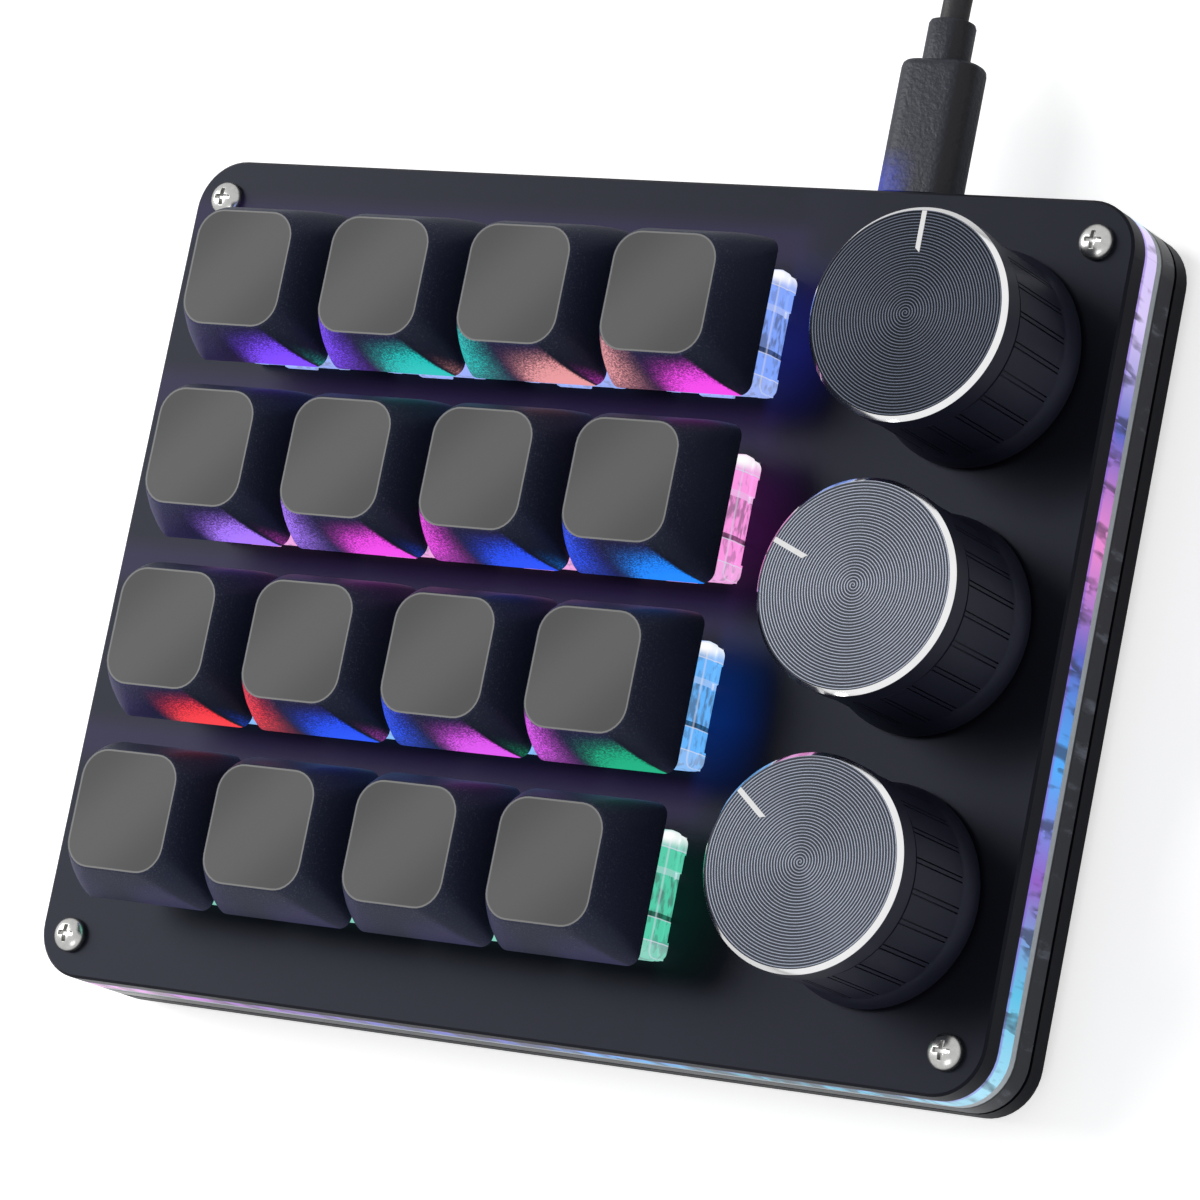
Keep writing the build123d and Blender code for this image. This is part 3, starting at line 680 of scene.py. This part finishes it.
# ---- keycaps ----
# A hollow cap on each stem, moulded in black plastic with a fine sparkling texture. Its
# sides bulge a little, and its corners open towards the top, where a smooth grey pane
# lies in a thin pale outline. The light of the lamps between the keys is painted on its
# front as glow, and painted glints lighten its specks towards the top edge.
cap_rim = 8.5
cap_top = 16.9
cap_wall = 1.5
cap_levels = [  # height, width, length, corner radius
    (8.5, 18.20, 18.05, 1.4),
    (8.6, 18.40, 18.25, 1.5),
    (9.4, 18.28, 18.15, 1.9),
    (10.2, 18.05, 17.94, 2.25),
    (11.2, 17.63, 17.58, 2.6),
    (12.2, 17.10, 17.12, 2.85),
    (13.2, 16.48, 16.58, 3.0),
    (14.2, 15.77, 15.96, 3.15),
    (15.2, 14.98, 15.27, 3.25),
    (16.0, 14.30, 14.68, 3.3),
    (16.6, 13.72, 14.20, 3.3),
    (16.8, 13.50, 14.02, 3.28),
    (16.9, 13.26, 13.80, 3.2),
]
outline_width = 0.2
boss_radius = 2.75
boss_foot = 6.6
cap_ceiling = 15.2
cross_arms = ((4.04, 1.34), (1.14, 4.04))
cross_depth = 3.6
violet = (0.20, 0.06, 1.00)
ambient = (0.006, 0.002, 0.026)
lavender = (0.40, 0.18, 1.00)
teal = (0.00, 0.55, 0.48)
peach = (0.80, 0.32, 0.30)
magenta = (0.90, 0.06, 0.80)
blue = (0.01, 0.07, 0.90)
azure = (0.00, 0.24, 1.00)
red = (0.95, 0.03, 0.02)
purple = (0.75, 0.08, 0.85)
green = (0.00, 0.42, 0.18)
dim = (0.010, 0.006, 0.035)
gap_lights = {  # by row, from the back: what shines on the right-hand end of each cap
    "r1": (violet, teal, peach, magenta),
    "r2": (lavender, magenta, blue, azure),
    "r3": (red, blue, purple, green),
    "r4": (dim, dim, dim, dim),
}
own_glow = 3.2  # at the right-hand end of a cap's front
left_glow = 0.85  # from the cap's left-hand neighbour, at the left-hand end
right_glow = 0.22  # from the right-hand neighbour, round the corner
last_lit = -21.5  # the front row lies beyond and stays dark

cap_black = Finish(
    "keycap_plastic",
    Roughness=0.55,
    Specular_IOR_Level=0.32,
    Specular_Tint=cool_gloss,
    Emission_Strength=1.0,
)
place = cap_black.place()
across, along, height = cap_black.axes(place)
facing = cap_black.node("ShaderNodeNewGeometry", {}, {}, output="Normal")
facing_x, facing_y, facing_z = cap_black.axes(facing)
row_start = (first_key[0] - column_pitch / 2) * mm
share_across = (across - row_start) * (1 / (4 * column_pitch * mm))


def by_key(hues_of_rows):
    """A colour for each key: one stepped ramp across each row, laid over the next."""
    joined = None
    for number, hues in enumerate(hues_of_rows):
        stops = [(column / 4, hue) for column, hue in enumerate(hues)]
        hue = cap_black.ramp(share_across, stops, "CONSTANT")
        border = (first_key[1] - (number - 0.5) * row_pitch) * mm
        in_row = cap_black.spread(along, border - 0.1 * mm, border)
        joined = cap_black.mix(in_row, hue, joined) if joined else hue
    return joined


own_light = by_key(gap_lights.values())
left_light = by_key([(dim, *hues[:-1]) for hues in gap_lights.values()])
right_light = by_key([(*hues[1:], dim) for hues in gap_lights.values()])
from_axis = (across - first_key[0] * mm).math("WRAP", half_pitch_x, -half_pitch_x)
in_cap = from_axis * (1 / (column_pitch * mm))
from_axis = (along - first_key[1] * mm).math("WRAP", half_pitch_y, -half_pitch_y)
up_the_cap = (height - (deck_z + cap_rim) * mm) * (1 / ((cap_top - cap_rim) * mm))
down_the_cap = (1.0 - up_the_cap).math("MAXIMUM", 0.0)
to_front = cap_black.spread(facing_y * -1.0, 0.25, 0.60)
to_own_front = to_front * cap_black.spread(facing_x, 0.15, 0.35, 1.0, 0.0)
to_side = cap_black.spread(facing_x, 0.35, 0.60)
to_side = to_side * cap_black.spread(facing_x, 0.75, 0.95, 1.0, 0.3)
texture = cap_black.noise(0.22 * mm, 2.0)
sparkle = cap_black.spread(texture, 0.38, 0.72, 0.55, 2.4)
own_share = cap_black.spread(in_cap, -0.14, 0.30, 0.0, own_glow) * down_the_cap**1.7
left_share = cap_black.spread(in_cap, -0.46, -0.06, left_glow, 0.0)
left_share = left_share * cap_black.spread(up_the_cap, -0.1, 0.65, 0.35, 1.0)
right_share = cap_black.spread(from_axis, -9.0 * mm, -7.4 * mm, right_glow, 0.0)
right_share = right_share * down_the_cap**2.0
lit_rows = cap_black.spread(along, (last_lit - 0.5) * mm, last_lit * mm)
# Painted light: the glow of the lamps between the keys on each cap's front and, faintly, round
# its right-hand corner, over a faint violet on all lit rows.
glow = cap_black.mix(to_own_front * lit_rows * sparkle, (0.0, 0.0, 0.0), ambient)
for share, light in (
    (own_share * to_own_front * sparkle, own_light),
    (left_share * to_own_front * sparkle, left_light),
    (right_share * to_side * sparkle, right_light),
):
    glow = cap_black.mix(1.0, glow, cap_black.mix(share, (0.0, 0.0, 0.0), light), "ADD")
# Painted highlight: the specks of the texture are lighter the nearer they lie to the top edge,
# where light catches it.
painted_glint_towards_top = cap_black.spread(up_the_cap, 0.55, 1.0, 0.25, 1.0)
specks_and_painted_glints = painted_glint_towards_top * cap_black.spread(texture, 0.52, 0.75)
cap_black.vary(
    Base_Color=cap_black.mix(specks_and_painted_glints, (0.013, 0.016, 0.036), (0.06, 0.07, 0.095)),
    Emission_Color=glow,
)
cap_black.bump(texture, 0.05 * mm)

outline_grey = Finish("keycap_outline", Roughness=0.5)
outline_grey.clouded(2.0 * mm, (0.120, 0.120, 0.118), (0.140, 0.140, 0.138))

pane_grey = Finish("keycap_pane", Roughness=0.6, Specular_IOR_Level=0.2)
across, along, height = pane_grey.axes(pane_grey.place())
from_axis_x = (across - first_key[0] * mm).math("WRAP", half_pitch_x, -half_pitch_x)
from_axis_y = (along - first_key[1] * mm).math("WRAP", half_pitch_y, -half_pitch_y)
off_diagonal = (from_axis_y - from_axis_x).math("ABSOLUTE")
to_corner = pane_grey.spread(off_diagonal, 1.0 * mm, 11.0 * mm)
pane_grey.vary(
    Base_Color=pane_grey.mix(to_corner, (0.117, 0.117, 0.119), (0.078, 0.078, 0.079))
)

keycap = lofted("keycap", cap_levels, 8)
bpy.ops.object.mode_set(mode="EDIT")
select(keycap, "faces", not_above(cap_rim))
bpy.ops.mesh.delete(type="FACE")
select(keycap, "faces", not_below(cap_top))
bpy.ops.mesh.inset(thickness=outline_width * mm)
bpy.ops.object.mode_set(mode="OBJECT")
dress(keycap, cap_black, outline_grey, pane_grey)
for face in keycap.data.polygons:
    if face.center.z > cap_top * mm - margin:
        face.material_index = 1 if face.center.xy.length > 1.0 * mm else 2
apply(keycap, "SOLIDIFY", thickness=cap_wall * mm, offset=-1.0, use_even_offset=True)
boss = add_rod(boss_radius, boss_foot, cap_ceiling + 0.2, 48)
dress(boss, cap_black)
cross = []
for x, y in cross_arms:
    high = (x / 2, y / 2, boss_foot + cross_depth)
    cross.append(add_block((-x / 2, -y / 2, boss_foot - 1.0), high, 0.02, 1))
cross = join("cross", cross)
apply(boss, "BOOLEAN", operation="DIFFERENCE", object=cross, use_self=True)
bpy.data.objects.remove(cross)
keycap = join("keycap", [keycap, boss])
smooth(keycap, 30.0)

for name, place in key_places.items():
    cap = copy_to(keycap, place, f"keycap_{name}_moulded")
    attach(cap, f"key_{name}")
    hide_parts(f"keycap_{name}")
bpy.data.objects.remove(keycap)

# ---- encoders ----
# A plated steel box with a threaded bush, soldered to the board under each knob. The
# brass rotor turns inside it, and the flatted steel shaft slides in the rotor.
encoder_steel = Finish("encoder_steel", Metallic=1.0, Roughness=0.35)
encoder_steel.clouded(2.0 * mm, (0.45, 0.45, 0.45), (0.60, 0.60, 0.60))
dress(nodes["encoder_housings"], encoder_steel)

rotor_brass = Finish("rotor_brass", Metallic=1.0, Roughness=0.3)
rotor_brass.clouded(1.0 * mm, (0.65, 0.45, 0.18), (0.78, 0.58, 0.26))

shaft_steel = Finish("shaft_steel", Metallic=1.0, Roughness=0.25)
turning = shaft_steel.axes(shaft_steel.place())[2].math("PINGPONG", 0.1 * mm) * (10 / mm)
shaft_steel.vary(
    Base_Color=shaft_steel.mix(turning, (0.50, 0.50, 0.51), (0.65, 0.65, 0.66))
)
for number in (1, 2, 3):
    dress(nodes[f"encoder_{number}_rotor"], rotor_brass)
    dress(nodes[f"encoder_{number}_shaft"], shaft_steel)

# ---- top plate ----
# A black anodised aluminium plate, blasted matt like the bottom one. The faint light that
# the housings beside the last keys throw on it in their own colour, and a violet light
# between the rows of keys, are painted on it as glow.
row_spills = [  # from the front row to the back one
    (0.00, (0.000, 0.001, 0.001)),
    (0.11, (0.000, 0.009, 0.006)),
    (0.17, (0.000, 0.007, 0.005)),
    (0.25, (0.001, 0.001, 0.006)),
    (0.36, (0.000, 0.014, 0.115)),
    (0.42, (0.000, 0.010, 0.080)),
    (0.50, (0.003, 0.001, 0.008)),
    (0.61, (0.022, 0.001, 0.028)),
    (0.67, (0.016, 0.001, 0.022)),
    (0.75, (0.002, 0.001, 0.008)),
    (0.86, (0.005, 0.007, 0.100)),
    (0.92, (0.004, 0.006, 0.070)),
    (1.00, (0.001, 0.001, 0.004)),
]

violet_glow_between = (0.011, 0.005, 0.030)  # between the rows of keys
violet_front = (-32.0, -26.0)  # where it fades out towards the front

top_black = Finish(
    "black_plate",
    Roughness=0.32,
    Specular_IOR_Level=0.12,
    Specular_Tint=cool_gloss,
    Emission_Strength=1.0,
)
grain = top_black.noise(blast_grain)
across, along, height = top_black.axes(top_black.place())
last_flange = (first_key[0] + 3 * column_pitch + flange_half) * mm
beside = top_black.spread(across, last_flange - 2.0 * mm, last_flange)
beside = beside * top_black.spread(
    across, last_flange + 0.5 * mm, last_flange + 9.0 * mm, 1.0, 0.0
)
spill = top_black.ramp(along.math("MULTIPLY_ADD", 1 / (4 * row_pitch * mm), 0.5), row_spills)
to_row = (along - first_key[1] * mm).math("WRAP", half_pitch_y, -half_pitch_y).math("ABSOLUTE")
under_keys = top_black.spread(across, last_flange - 2.0 * mm, last_flange + 3.0 * mm, 1.0, 0.0)
above_last_row = top_black.spread(along, *(y * mm for y in violet_front))
violet_gap = top_black.spread(to_row, 7.0 * mm, 10.0 * mm) * under_keys * above_last_row
# Painted light: the spill of the housings beside the last keys, and a violet glow between the
# rows.
spill = top_black.mix(beside, (0.0, 0.0, 0.0), spill)
violet_spill = top_black.mix(violet_gap, (0.0, 0.0, 0.0), violet_glow_between)
top_black.vary(
    Base_Color=top_black.mix(grain, black_dark, black_light),
    Emission_Color=top_black.mix(1.0, spill, violet_spill, "ADD"),
)
top_black.bump(grain, blast_depth)
dress(nodes["top_plate"], top_black)

# ---- corner screws ----
# Four long plated steel screws with domed heads and a cross recess, through the whole
# stack into the bottom plate.
screw_radius = 1.0
screw_foot = -13.9
head_radius = 2.05
head_foot = ((screw_radius, 0.0), (head_radius - 0.1, 0.0), (head_radius, 0.1))
head_side = 0.45
head_height = 1.6
dome_steps = 8
recess_span = 2.1
recess_width = 0.55
recess_depth = 0.8
recess_edge = 0.06
screw_places = [(x, y, deck_z) for x in (-58.5, 58.5) for y in (-45.1, 45.1)]


def turned(name, outline, steps):
    """A turned shell: rings of points at (radius, height), closed flat at both ends."""
    bpy.ops.object.select_all(action="DESELECT")
    radius, height = outline[0]
    bpy.ops.mesh.primitive_circle_add(vertices=steps, radius=radius * mm, fill_type="NGON")
    piece = bpy.context.object
    piece.name = piece.data.name = name
    bpy.ops.object.mode_set(mode="EDIT")
    bpy.ops.transform.translate(value=(0.0, 0.0, height * mm))
    for next_radius, next_height in outline[1:]:
        bpy.ops.mesh.extrude_region_move(
            TRANSFORM_OT_translate={"value": (0.0, 0.0, (next_height - height) * mm)}
        )
        ratio = next_radius / radius
        bpy.ops.transform.resize(
            value=(ratio, ratio, 1.0), center_override=(0.0, 0.0, next_height * mm)
        )
        radius, height = next_radius, next_height
    bpy.ops.mesh.select_all(action="SELECT")
    bpy.ops.mesh.normals_make_consistent(inside=False)
    bpy.ops.object.mode_set(mode="OBJECT")
    return piece


dome = [
    (
        head_radius * math.cos(math.pi / 2 * step / dome_steps),
        head_side + (head_height - head_side) * math.sin(math.pi / 2 * step / dome_steps),
    )
    for step in range(dome_steps)
]
screw = turned("screw", [(screw_radius, screw_foot), *head_foot, *dome], 48)
recess = []
for x, y in ((recess_span, recess_width), (recess_width, recess_span)):
    low = (-x / 2, -y / 2, head_height - recess_depth)
    recess.append(add_block(low, (x / 2, y / 2, head_height + 1.0), 0.1))
recess = join("recess", recess)
apply(screw, "BOOLEAN", operation="DIFFERENCE", object=recess, use_self=True)
bpy.data.objects.remove(recess)
apply(
    screw,
    "BEVEL",
    width=recess_edge * mm,
    segments=2,
    limit_method="ANGLE",
    angle_limit=math.radians(40.0),
)
screws = join(
    "corner_screws_turned", [copy_to(screw, place, "screw_copy") for place in screw_places]
)
bpy.data.objects.remove(screw)
smooth(screws, 30.0)
screw_steel = Finish("screw_steel", Metallic=1.0, Roughness=0.27)
screw_steel.clouded(0.6 * mm, (0.42, 0.42, 0.41), (0.56, 0.56, 0.55))
dress(screws, screw_steel)
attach(screws, "chassis")
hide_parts("corner_screws")

# ---- knob shells ----
# A black moulding pressed on each shaft: a flared skirt, a grip band of 22 panels parted
# by a narrow rib between two grooves, and a plain collar above a shadow groove.
knob_angles = {1: 90.0, 2: 158.0, 3: 142.0}
knob_x = 46.97
knob_ys = {1: 31.1, 2: 0.9, 3: -29.3}
grip_radius = 11.8
grip_foot = 3.7
grip_top = 14.4
grip_panels = 22
panel_steps = 18
groove_depth = 0.3
groove_steps = (1, panel_steps - 2)
shell_outline = [  # radius and height, from the bore over the foot to the collar
    (3.02, 15.5),
    (3.02, 6.6),
    (5.0, 6.6),
    (5.0, 14.55),
    (10.3, 14.55),
    (10.3, 0.7),
    (12.35, 0.7),
    (12.5, 0.85),
    (12.5, 1.2),
    (12.4, 1.8),
    (11.95, 3.4),
    (grip_radius, grip_foot),
    (grip_radius, grip_top),
    (11.4, 14.5),
    (11.4, 14.8),
    (11.92, 14.95),
    (12.0, 15.05),
    (12.0, 17.75),
    (11.9, 17.75),
]

shell = turned("knob_shell", shell_outline, grip_panels * panel_steps)


def in_groove(face):
    """Whether a face of the grip band lies in one of the two grooves of its panel."""
    middle = face.calc_center_median()
    step = int(math.atan2(middle.y, middle.x) / (2 * math.pi) * grip_panels * panel_steps // 1)
    on_band = grip_foot * mm < middle.z < grip_top * mm and middle.xy.length > 11.5 * mm
    return on_band and step % panel_steps in groove_steps


bpy.ops.object.mode_set(mode="EDIT")
select(shell, "faces", in_groove)
bpy.ops.mesh.extrude_region_shrink_fatten(
    TRANSFORM_OT_shrink_fatten={"value": -groove_depth * mm}
)
bpy.ops.object.mode_set(mode="OBJECT")
smooth(shell, 30.0)

knob_black = Finish(
    "knob_plastic", Roughness=0.40, Specular_IOR_Level=0.36, Specular_Tint=cool_gloss
)
satin = knob_black.noise(0.15 * mm)
knob_black.vary(Base_Color=knob_black.mix(satin, (0.006, 0.007, 0.015), (0.012, 0.013, 0.025)))
knob_black.bump(satin, 0.01 * mm)
knob_places = {
    number: Matrix.Translation(Vector((knob_x, knob_ys[number], deck_z)) * mm)
    @ Matrix.Rotation(math.radians(angle), 4, "Z")
    for number, angle in knob_angles.items()
}
for number, place in knob_places.items():
    knob_shell = copy_to(shell, place, f"knob_{number}_shell_moulded")
    dress(knob_shell, knob_black)
    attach(knob_shell, f"knob_{number}")
    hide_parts(f"knob_{number}_shell")
bpy.data.objects.remove(shell)

# ---- knob discs ----
# A turned aluminium cover on each knob. A tool has cut a fine spiral into its face and a
# bright chamfer round it, and a white index bar is inlaid at its edge.
disc_radius = 12.0
face_radius = 11.5
disc_low = 17.75
disc_top = 18.4
spiral_pitch = 0.34 * mm
# Painted shade: the grooves are painted darker than the ridges, and the back disc darkest, for
# the darker place that it mirrors.
disc_tones_and_shade = {  # groove and ridge of each spiral; the back disc is the darkest
    1: ((0.004, 0.005, 0.006), (0.054, 0.061, 0.081)),
    2: ((0.020, 0.022, 0.026), (0.150, 0.162, 0.198)),
    3: ((0.018, 0.020, 0.024), (0.130, 0.142, 0.175)),
}
bar_inner = 7.0
bar_half = 0.3
bar_slant = 0.25  # how far the bar's inner end runs out at one side

polished = Finish("chamfer_aluminium", Metallic=1.0, Roughness=0.10)
polished.clouded(3.0 * mm, (0.80, 0.80, 0.81), (0.88, 0.88, 0.89))
bar_white = Finish("index_white", Roughness=0.5)
bar_white.clouded(0.5 * mm, (0.82, 0.82, 0.82), (0.90, 0.90, 0.90))

disc = turned(
    "knob_disc",
    [
        (disc_radius - 0.05, disc_low),
        (disc_radius, disc_low + 0.03),
        (face_radius + 0.03, disc_top - 0.03),
        (face_radius, disc_top),
        (face_radius - 0.1, disc_top),
    ],
    144,
)
dress(disc, polished, polished)
for face in disc.data.polygons:
    face.material_index = 0 if face.center.z > disc_top * mm - inside else 1
smooth(disc, 25.0)
bar_outer = (face_radius - 0.05, bar_half, disc_top + 0.03)
bar = add_block((bar_inner, -bar_half, disc_top - 0.2), bar_outer, 0.02)
for vertex in bar.data.vertices:
    if vertex.co.x < (bar_inner + 0.5) * mm:
        vertex.co.x += vertex.co.y / bar_half * bar_slant
dress(bar, bar_white)
for number, place in knob_places.items():
    axis = place.translation
    face_metal = Finish(f"knob_aluminium_{number}", Metallic=1.0, Roughness=0.36)
    across, along, height = face_metal.axes(face_metal.place())
    from_x, from_y = across - axis.x, along - axis.y
    radius = (from_x**2.0 + from_y**2.0) ** 0.5
    turn = from_y.math("ARCTAN2", from_x) * (1 / (2 * math.pi))
    groove = (radius * (1 / spiral_pitch) - turn).math("PINGPONG", 0.5) * 2.0
    ridge = face_metal.spread(groove, 0.15, 0.85)
    # Painted shade in the grooves of the spiral, darkest on the back disc.
    face_metal.vary(Base_Color=face_metal.mix(ridge, *disc_tones_and_shade[number]))
    face_metal.bump(ridge, 0.05 * mm)
    turned_disc = copy_to(disc, place, "disc_copy")
    for slot, finish in enumerate((face_metal, polished)):
        turned_disc.material_slots[slot].material = finish.material
    turned_bar = copy_to(bar, place, "bar_copy")
    knob_disc = join(f"knob_{number}_disc_turned", [turned_disc, turned_bar])
    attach(knob_disc, f"knob_{number}")
    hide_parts(f"knob_{number}_disc")
bpy.data.objects.remove(disc)
bpy.data.objects.remove(bar)

# ---- USB socket ----
# A plated steel shell, folded from sheet, sunk in a notch of the board's back edge and
# soldered there.
socket_steel = Finish("socket_steel", Metallic=1.0, Roughness=0.25)
socket_steel.clouded(1.0 * mm, (0.60, 0.60, 0.60), (0.72, 0.72, 0.72))
dress(nodes["usb_socket"], socket_steel)

# ---- USB plug ----
# A black moulding with a leather grain over a steel tongue that fills the socket. Its
# strain relief is one step narrower. The light of the nearest key is painted on its left
# end as glow, and painted shade darkens its upper right-hand edge.
usb_x = 32.5
usb_z = 11.2
plug_face = 50.4
key_light = (0.02, 0.05, 0.75)
plug_levels = [  # distance from the plate's edge, width, thickness, corner radius
    (0.0, 9.5, 5.6, 2.4),
    (0.2, 9.9, 6.0, 2.6),
    (15.1, 9.9, 6.0, 2.6),
    (15.6, 9.7, 5.8, 2.5),
    (15.9, 9.2, 5.3, 2.3),
    (16.0, 8.5, 4.9, 2.1),
    (16.02, 5.5, 4.6, 2.2),
    (20.6, 5.5, 4.6, 2.2),
    (20.95, 5.2, 4.3, 2.1),
    (21.1, 4.4, 3.6, 1.75),
]
tongue_levels = [(-6.4, 8.05, 2.2, 1.05), (-6.3, 8.25, 2.4, 1.1), (0.05, 8.25, 2.4, 1.1)]

leather = Finish(
    "plug_moulding", Roughness=0.42, Specular_IOR_Level=0.30, Emission_Strength=1.0
)
across, along, height = leather.axes(leather.place())
facing = leather.node("ShaderNodeNewGeometry", {}, {}, output="Normal")
facing_x, facing_y, facing_z = leather.axes(facing)
grain = leather.noise(0.5 * mm, detail=4.0)
# Painted shade darkens the upper right-hand edge; painted light of the nearest key glows on the
# left end, by the plate.
painted_edge_shade = leather.spread((facing_x + facing_z) * 0.7071, 0.80, 0.98)
near_plate = leather.spread(along, (plug_face + 0.5) * mm, (plug_face + 6.0) * mm, 1.0, 0.0)
to_left = leather.spread(across, (usb_x - 5.0) * mm, (usb_x + 1.0) * mm, 1.0, 0.0)
black_leather = leather.mix(grain, (0.006, 0.007, 0.013), (0.024, 0.027, 0.043))
leather.vary(
    Base_Color=leather.mix(painted_edge_shade, black_leather, (0.004, 0.004, 0.007)),
    Emission_Color=leather.mix(near_plate * to_left * grain, (0.0, 0.0, 0.0), key_light),
)
leather.bump(grain, 0.12 * mm)
tongue_steel = Finish("plug_tongue", Metallic=1.0, Roughness=0.25)
tongue_steel.clouded(1.0 * mm, (0.58, 0.58, 0.58), (0.70, 0.70, 0.70))

moulding = lofted("plug_moulding", plug_levels)
dress(moulding, leather)
tongue = lofted("plug_tongue", tongue_levels)
dress(tongue, tongue_steel)
usb_plug = join("usb_plug_moulded", [moulding, tongue])
usb_plug.data.transform(Matrix.Rotation(-math.pi / 2, 4, "X"))
usb_plug.data.transform(Matrix.Translation(Vector((usb_x, plug_face, usb_z)) * mm))
smooth(usb_plug, 30.0)
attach(usb_plug, "chassis")
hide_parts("usb_plug")

# ---- host plug ----
# The plug for the computer, at the other end of the lead: the same black moulding over a
# larger shell.
dress(nodes["host_plug"], leather)

# ---- USB lead ----
# A round black cable of 3.3 mm, moulded into its plug. It runs straight out of the plug,
# comes down to the desk and is wound up behind the keypad in two flat layers.
cable_width = 3.3 * mm
lead_run = [
    (32.5, 71.5, 11.2),
    (32.5, 82.1, 11.2),
    (30.5, 99.9, 1.65),
    (30.5, 110.5, 1.65),
]
coil_centre = Vector((61.5, 126.5))
coil_turns = (31.0, 27.0, 23.0, 19.0, 15.0, 17.0, 21.0, 25.0, 25.0)  # radius of each turn
coil_lower_turns = 5  # the others lie on top of them
coil_layers = (1.65, 4.55)  # middle of the cable in each
points_per_turn = 24
step_points = 6  # over which one turn steps over to the next
lead_tail = [(86.5, 114.5, 4.55), (86.5, 103.5, 4.4), (86.5, 92.5, 4.0)]

lead_points = list(lead_run)
coil_points = points_per_turn * (len(coil_turns) - 1) + points_per_turn // 2
for index in range(coil_points + 1):
    turn, step = divmod(index, points_per_turn)
    share = max(0, step - points_per_turn + step_points) / step_points
    after = min(turn + 1, len(coil_turns) - 1)
    radius = coil_turns[turn] + (coil_turns[after] - coil_turns[turn]) * share
    layer = (turn >= coil_lower_turns) + share * (turn == coil_lower_turns - 1)
    angle = math.pi - 2 * math.pi * index / points_per_turn
    lead_points.append((
        coil_centre.x + radius * math.cos(angle),
        coil_centre.y + radius * math.sin(angle),
        coil_layers[0] + (coil_layers[1] - coil_layers[0]) * layer,
    ))
lead_points += lead_tail

lead_curve = bpy.data.curves.new("usb_lead", "CURVE")
lead_curve.dimensions = "3D"
lead_curve.bevel_depth = cable_width / 2
lead_curve.bevel_resolution = 5
lead_curve.resolution_u = 6
lead_spline = lead_curve.splines.new("NURBS")
lead_spline.points.add(len(lead_points) - 1)
for point, place in zip(lead_spline.points, lead_points):
    point.co = (*(Vector(place) * mm), 1.0)
lead_spline.order_u = 3
lead_spline.use_endpoint_u = True
usb_lead = bpy.data.objects.new("usb_lead", lead_curve)
bpy.context.scene.collection.objects.link(usb_lead)

jacket = Finish("cable_jacket", Roughness=0.5, Specular_IOR_Level=0.35)
jacket.clouded(0.8 * mm, (0.010, 0.010, 0.012), (0.022, 0.022, 0.026))
jacket.bump(jacket.noise(0.35 * mm, detail=3.0), 0.05 * mm)
dress(usb_lead, jacket)
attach(usb_lead, "chassis")
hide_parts("cable_run", "cable_coil")
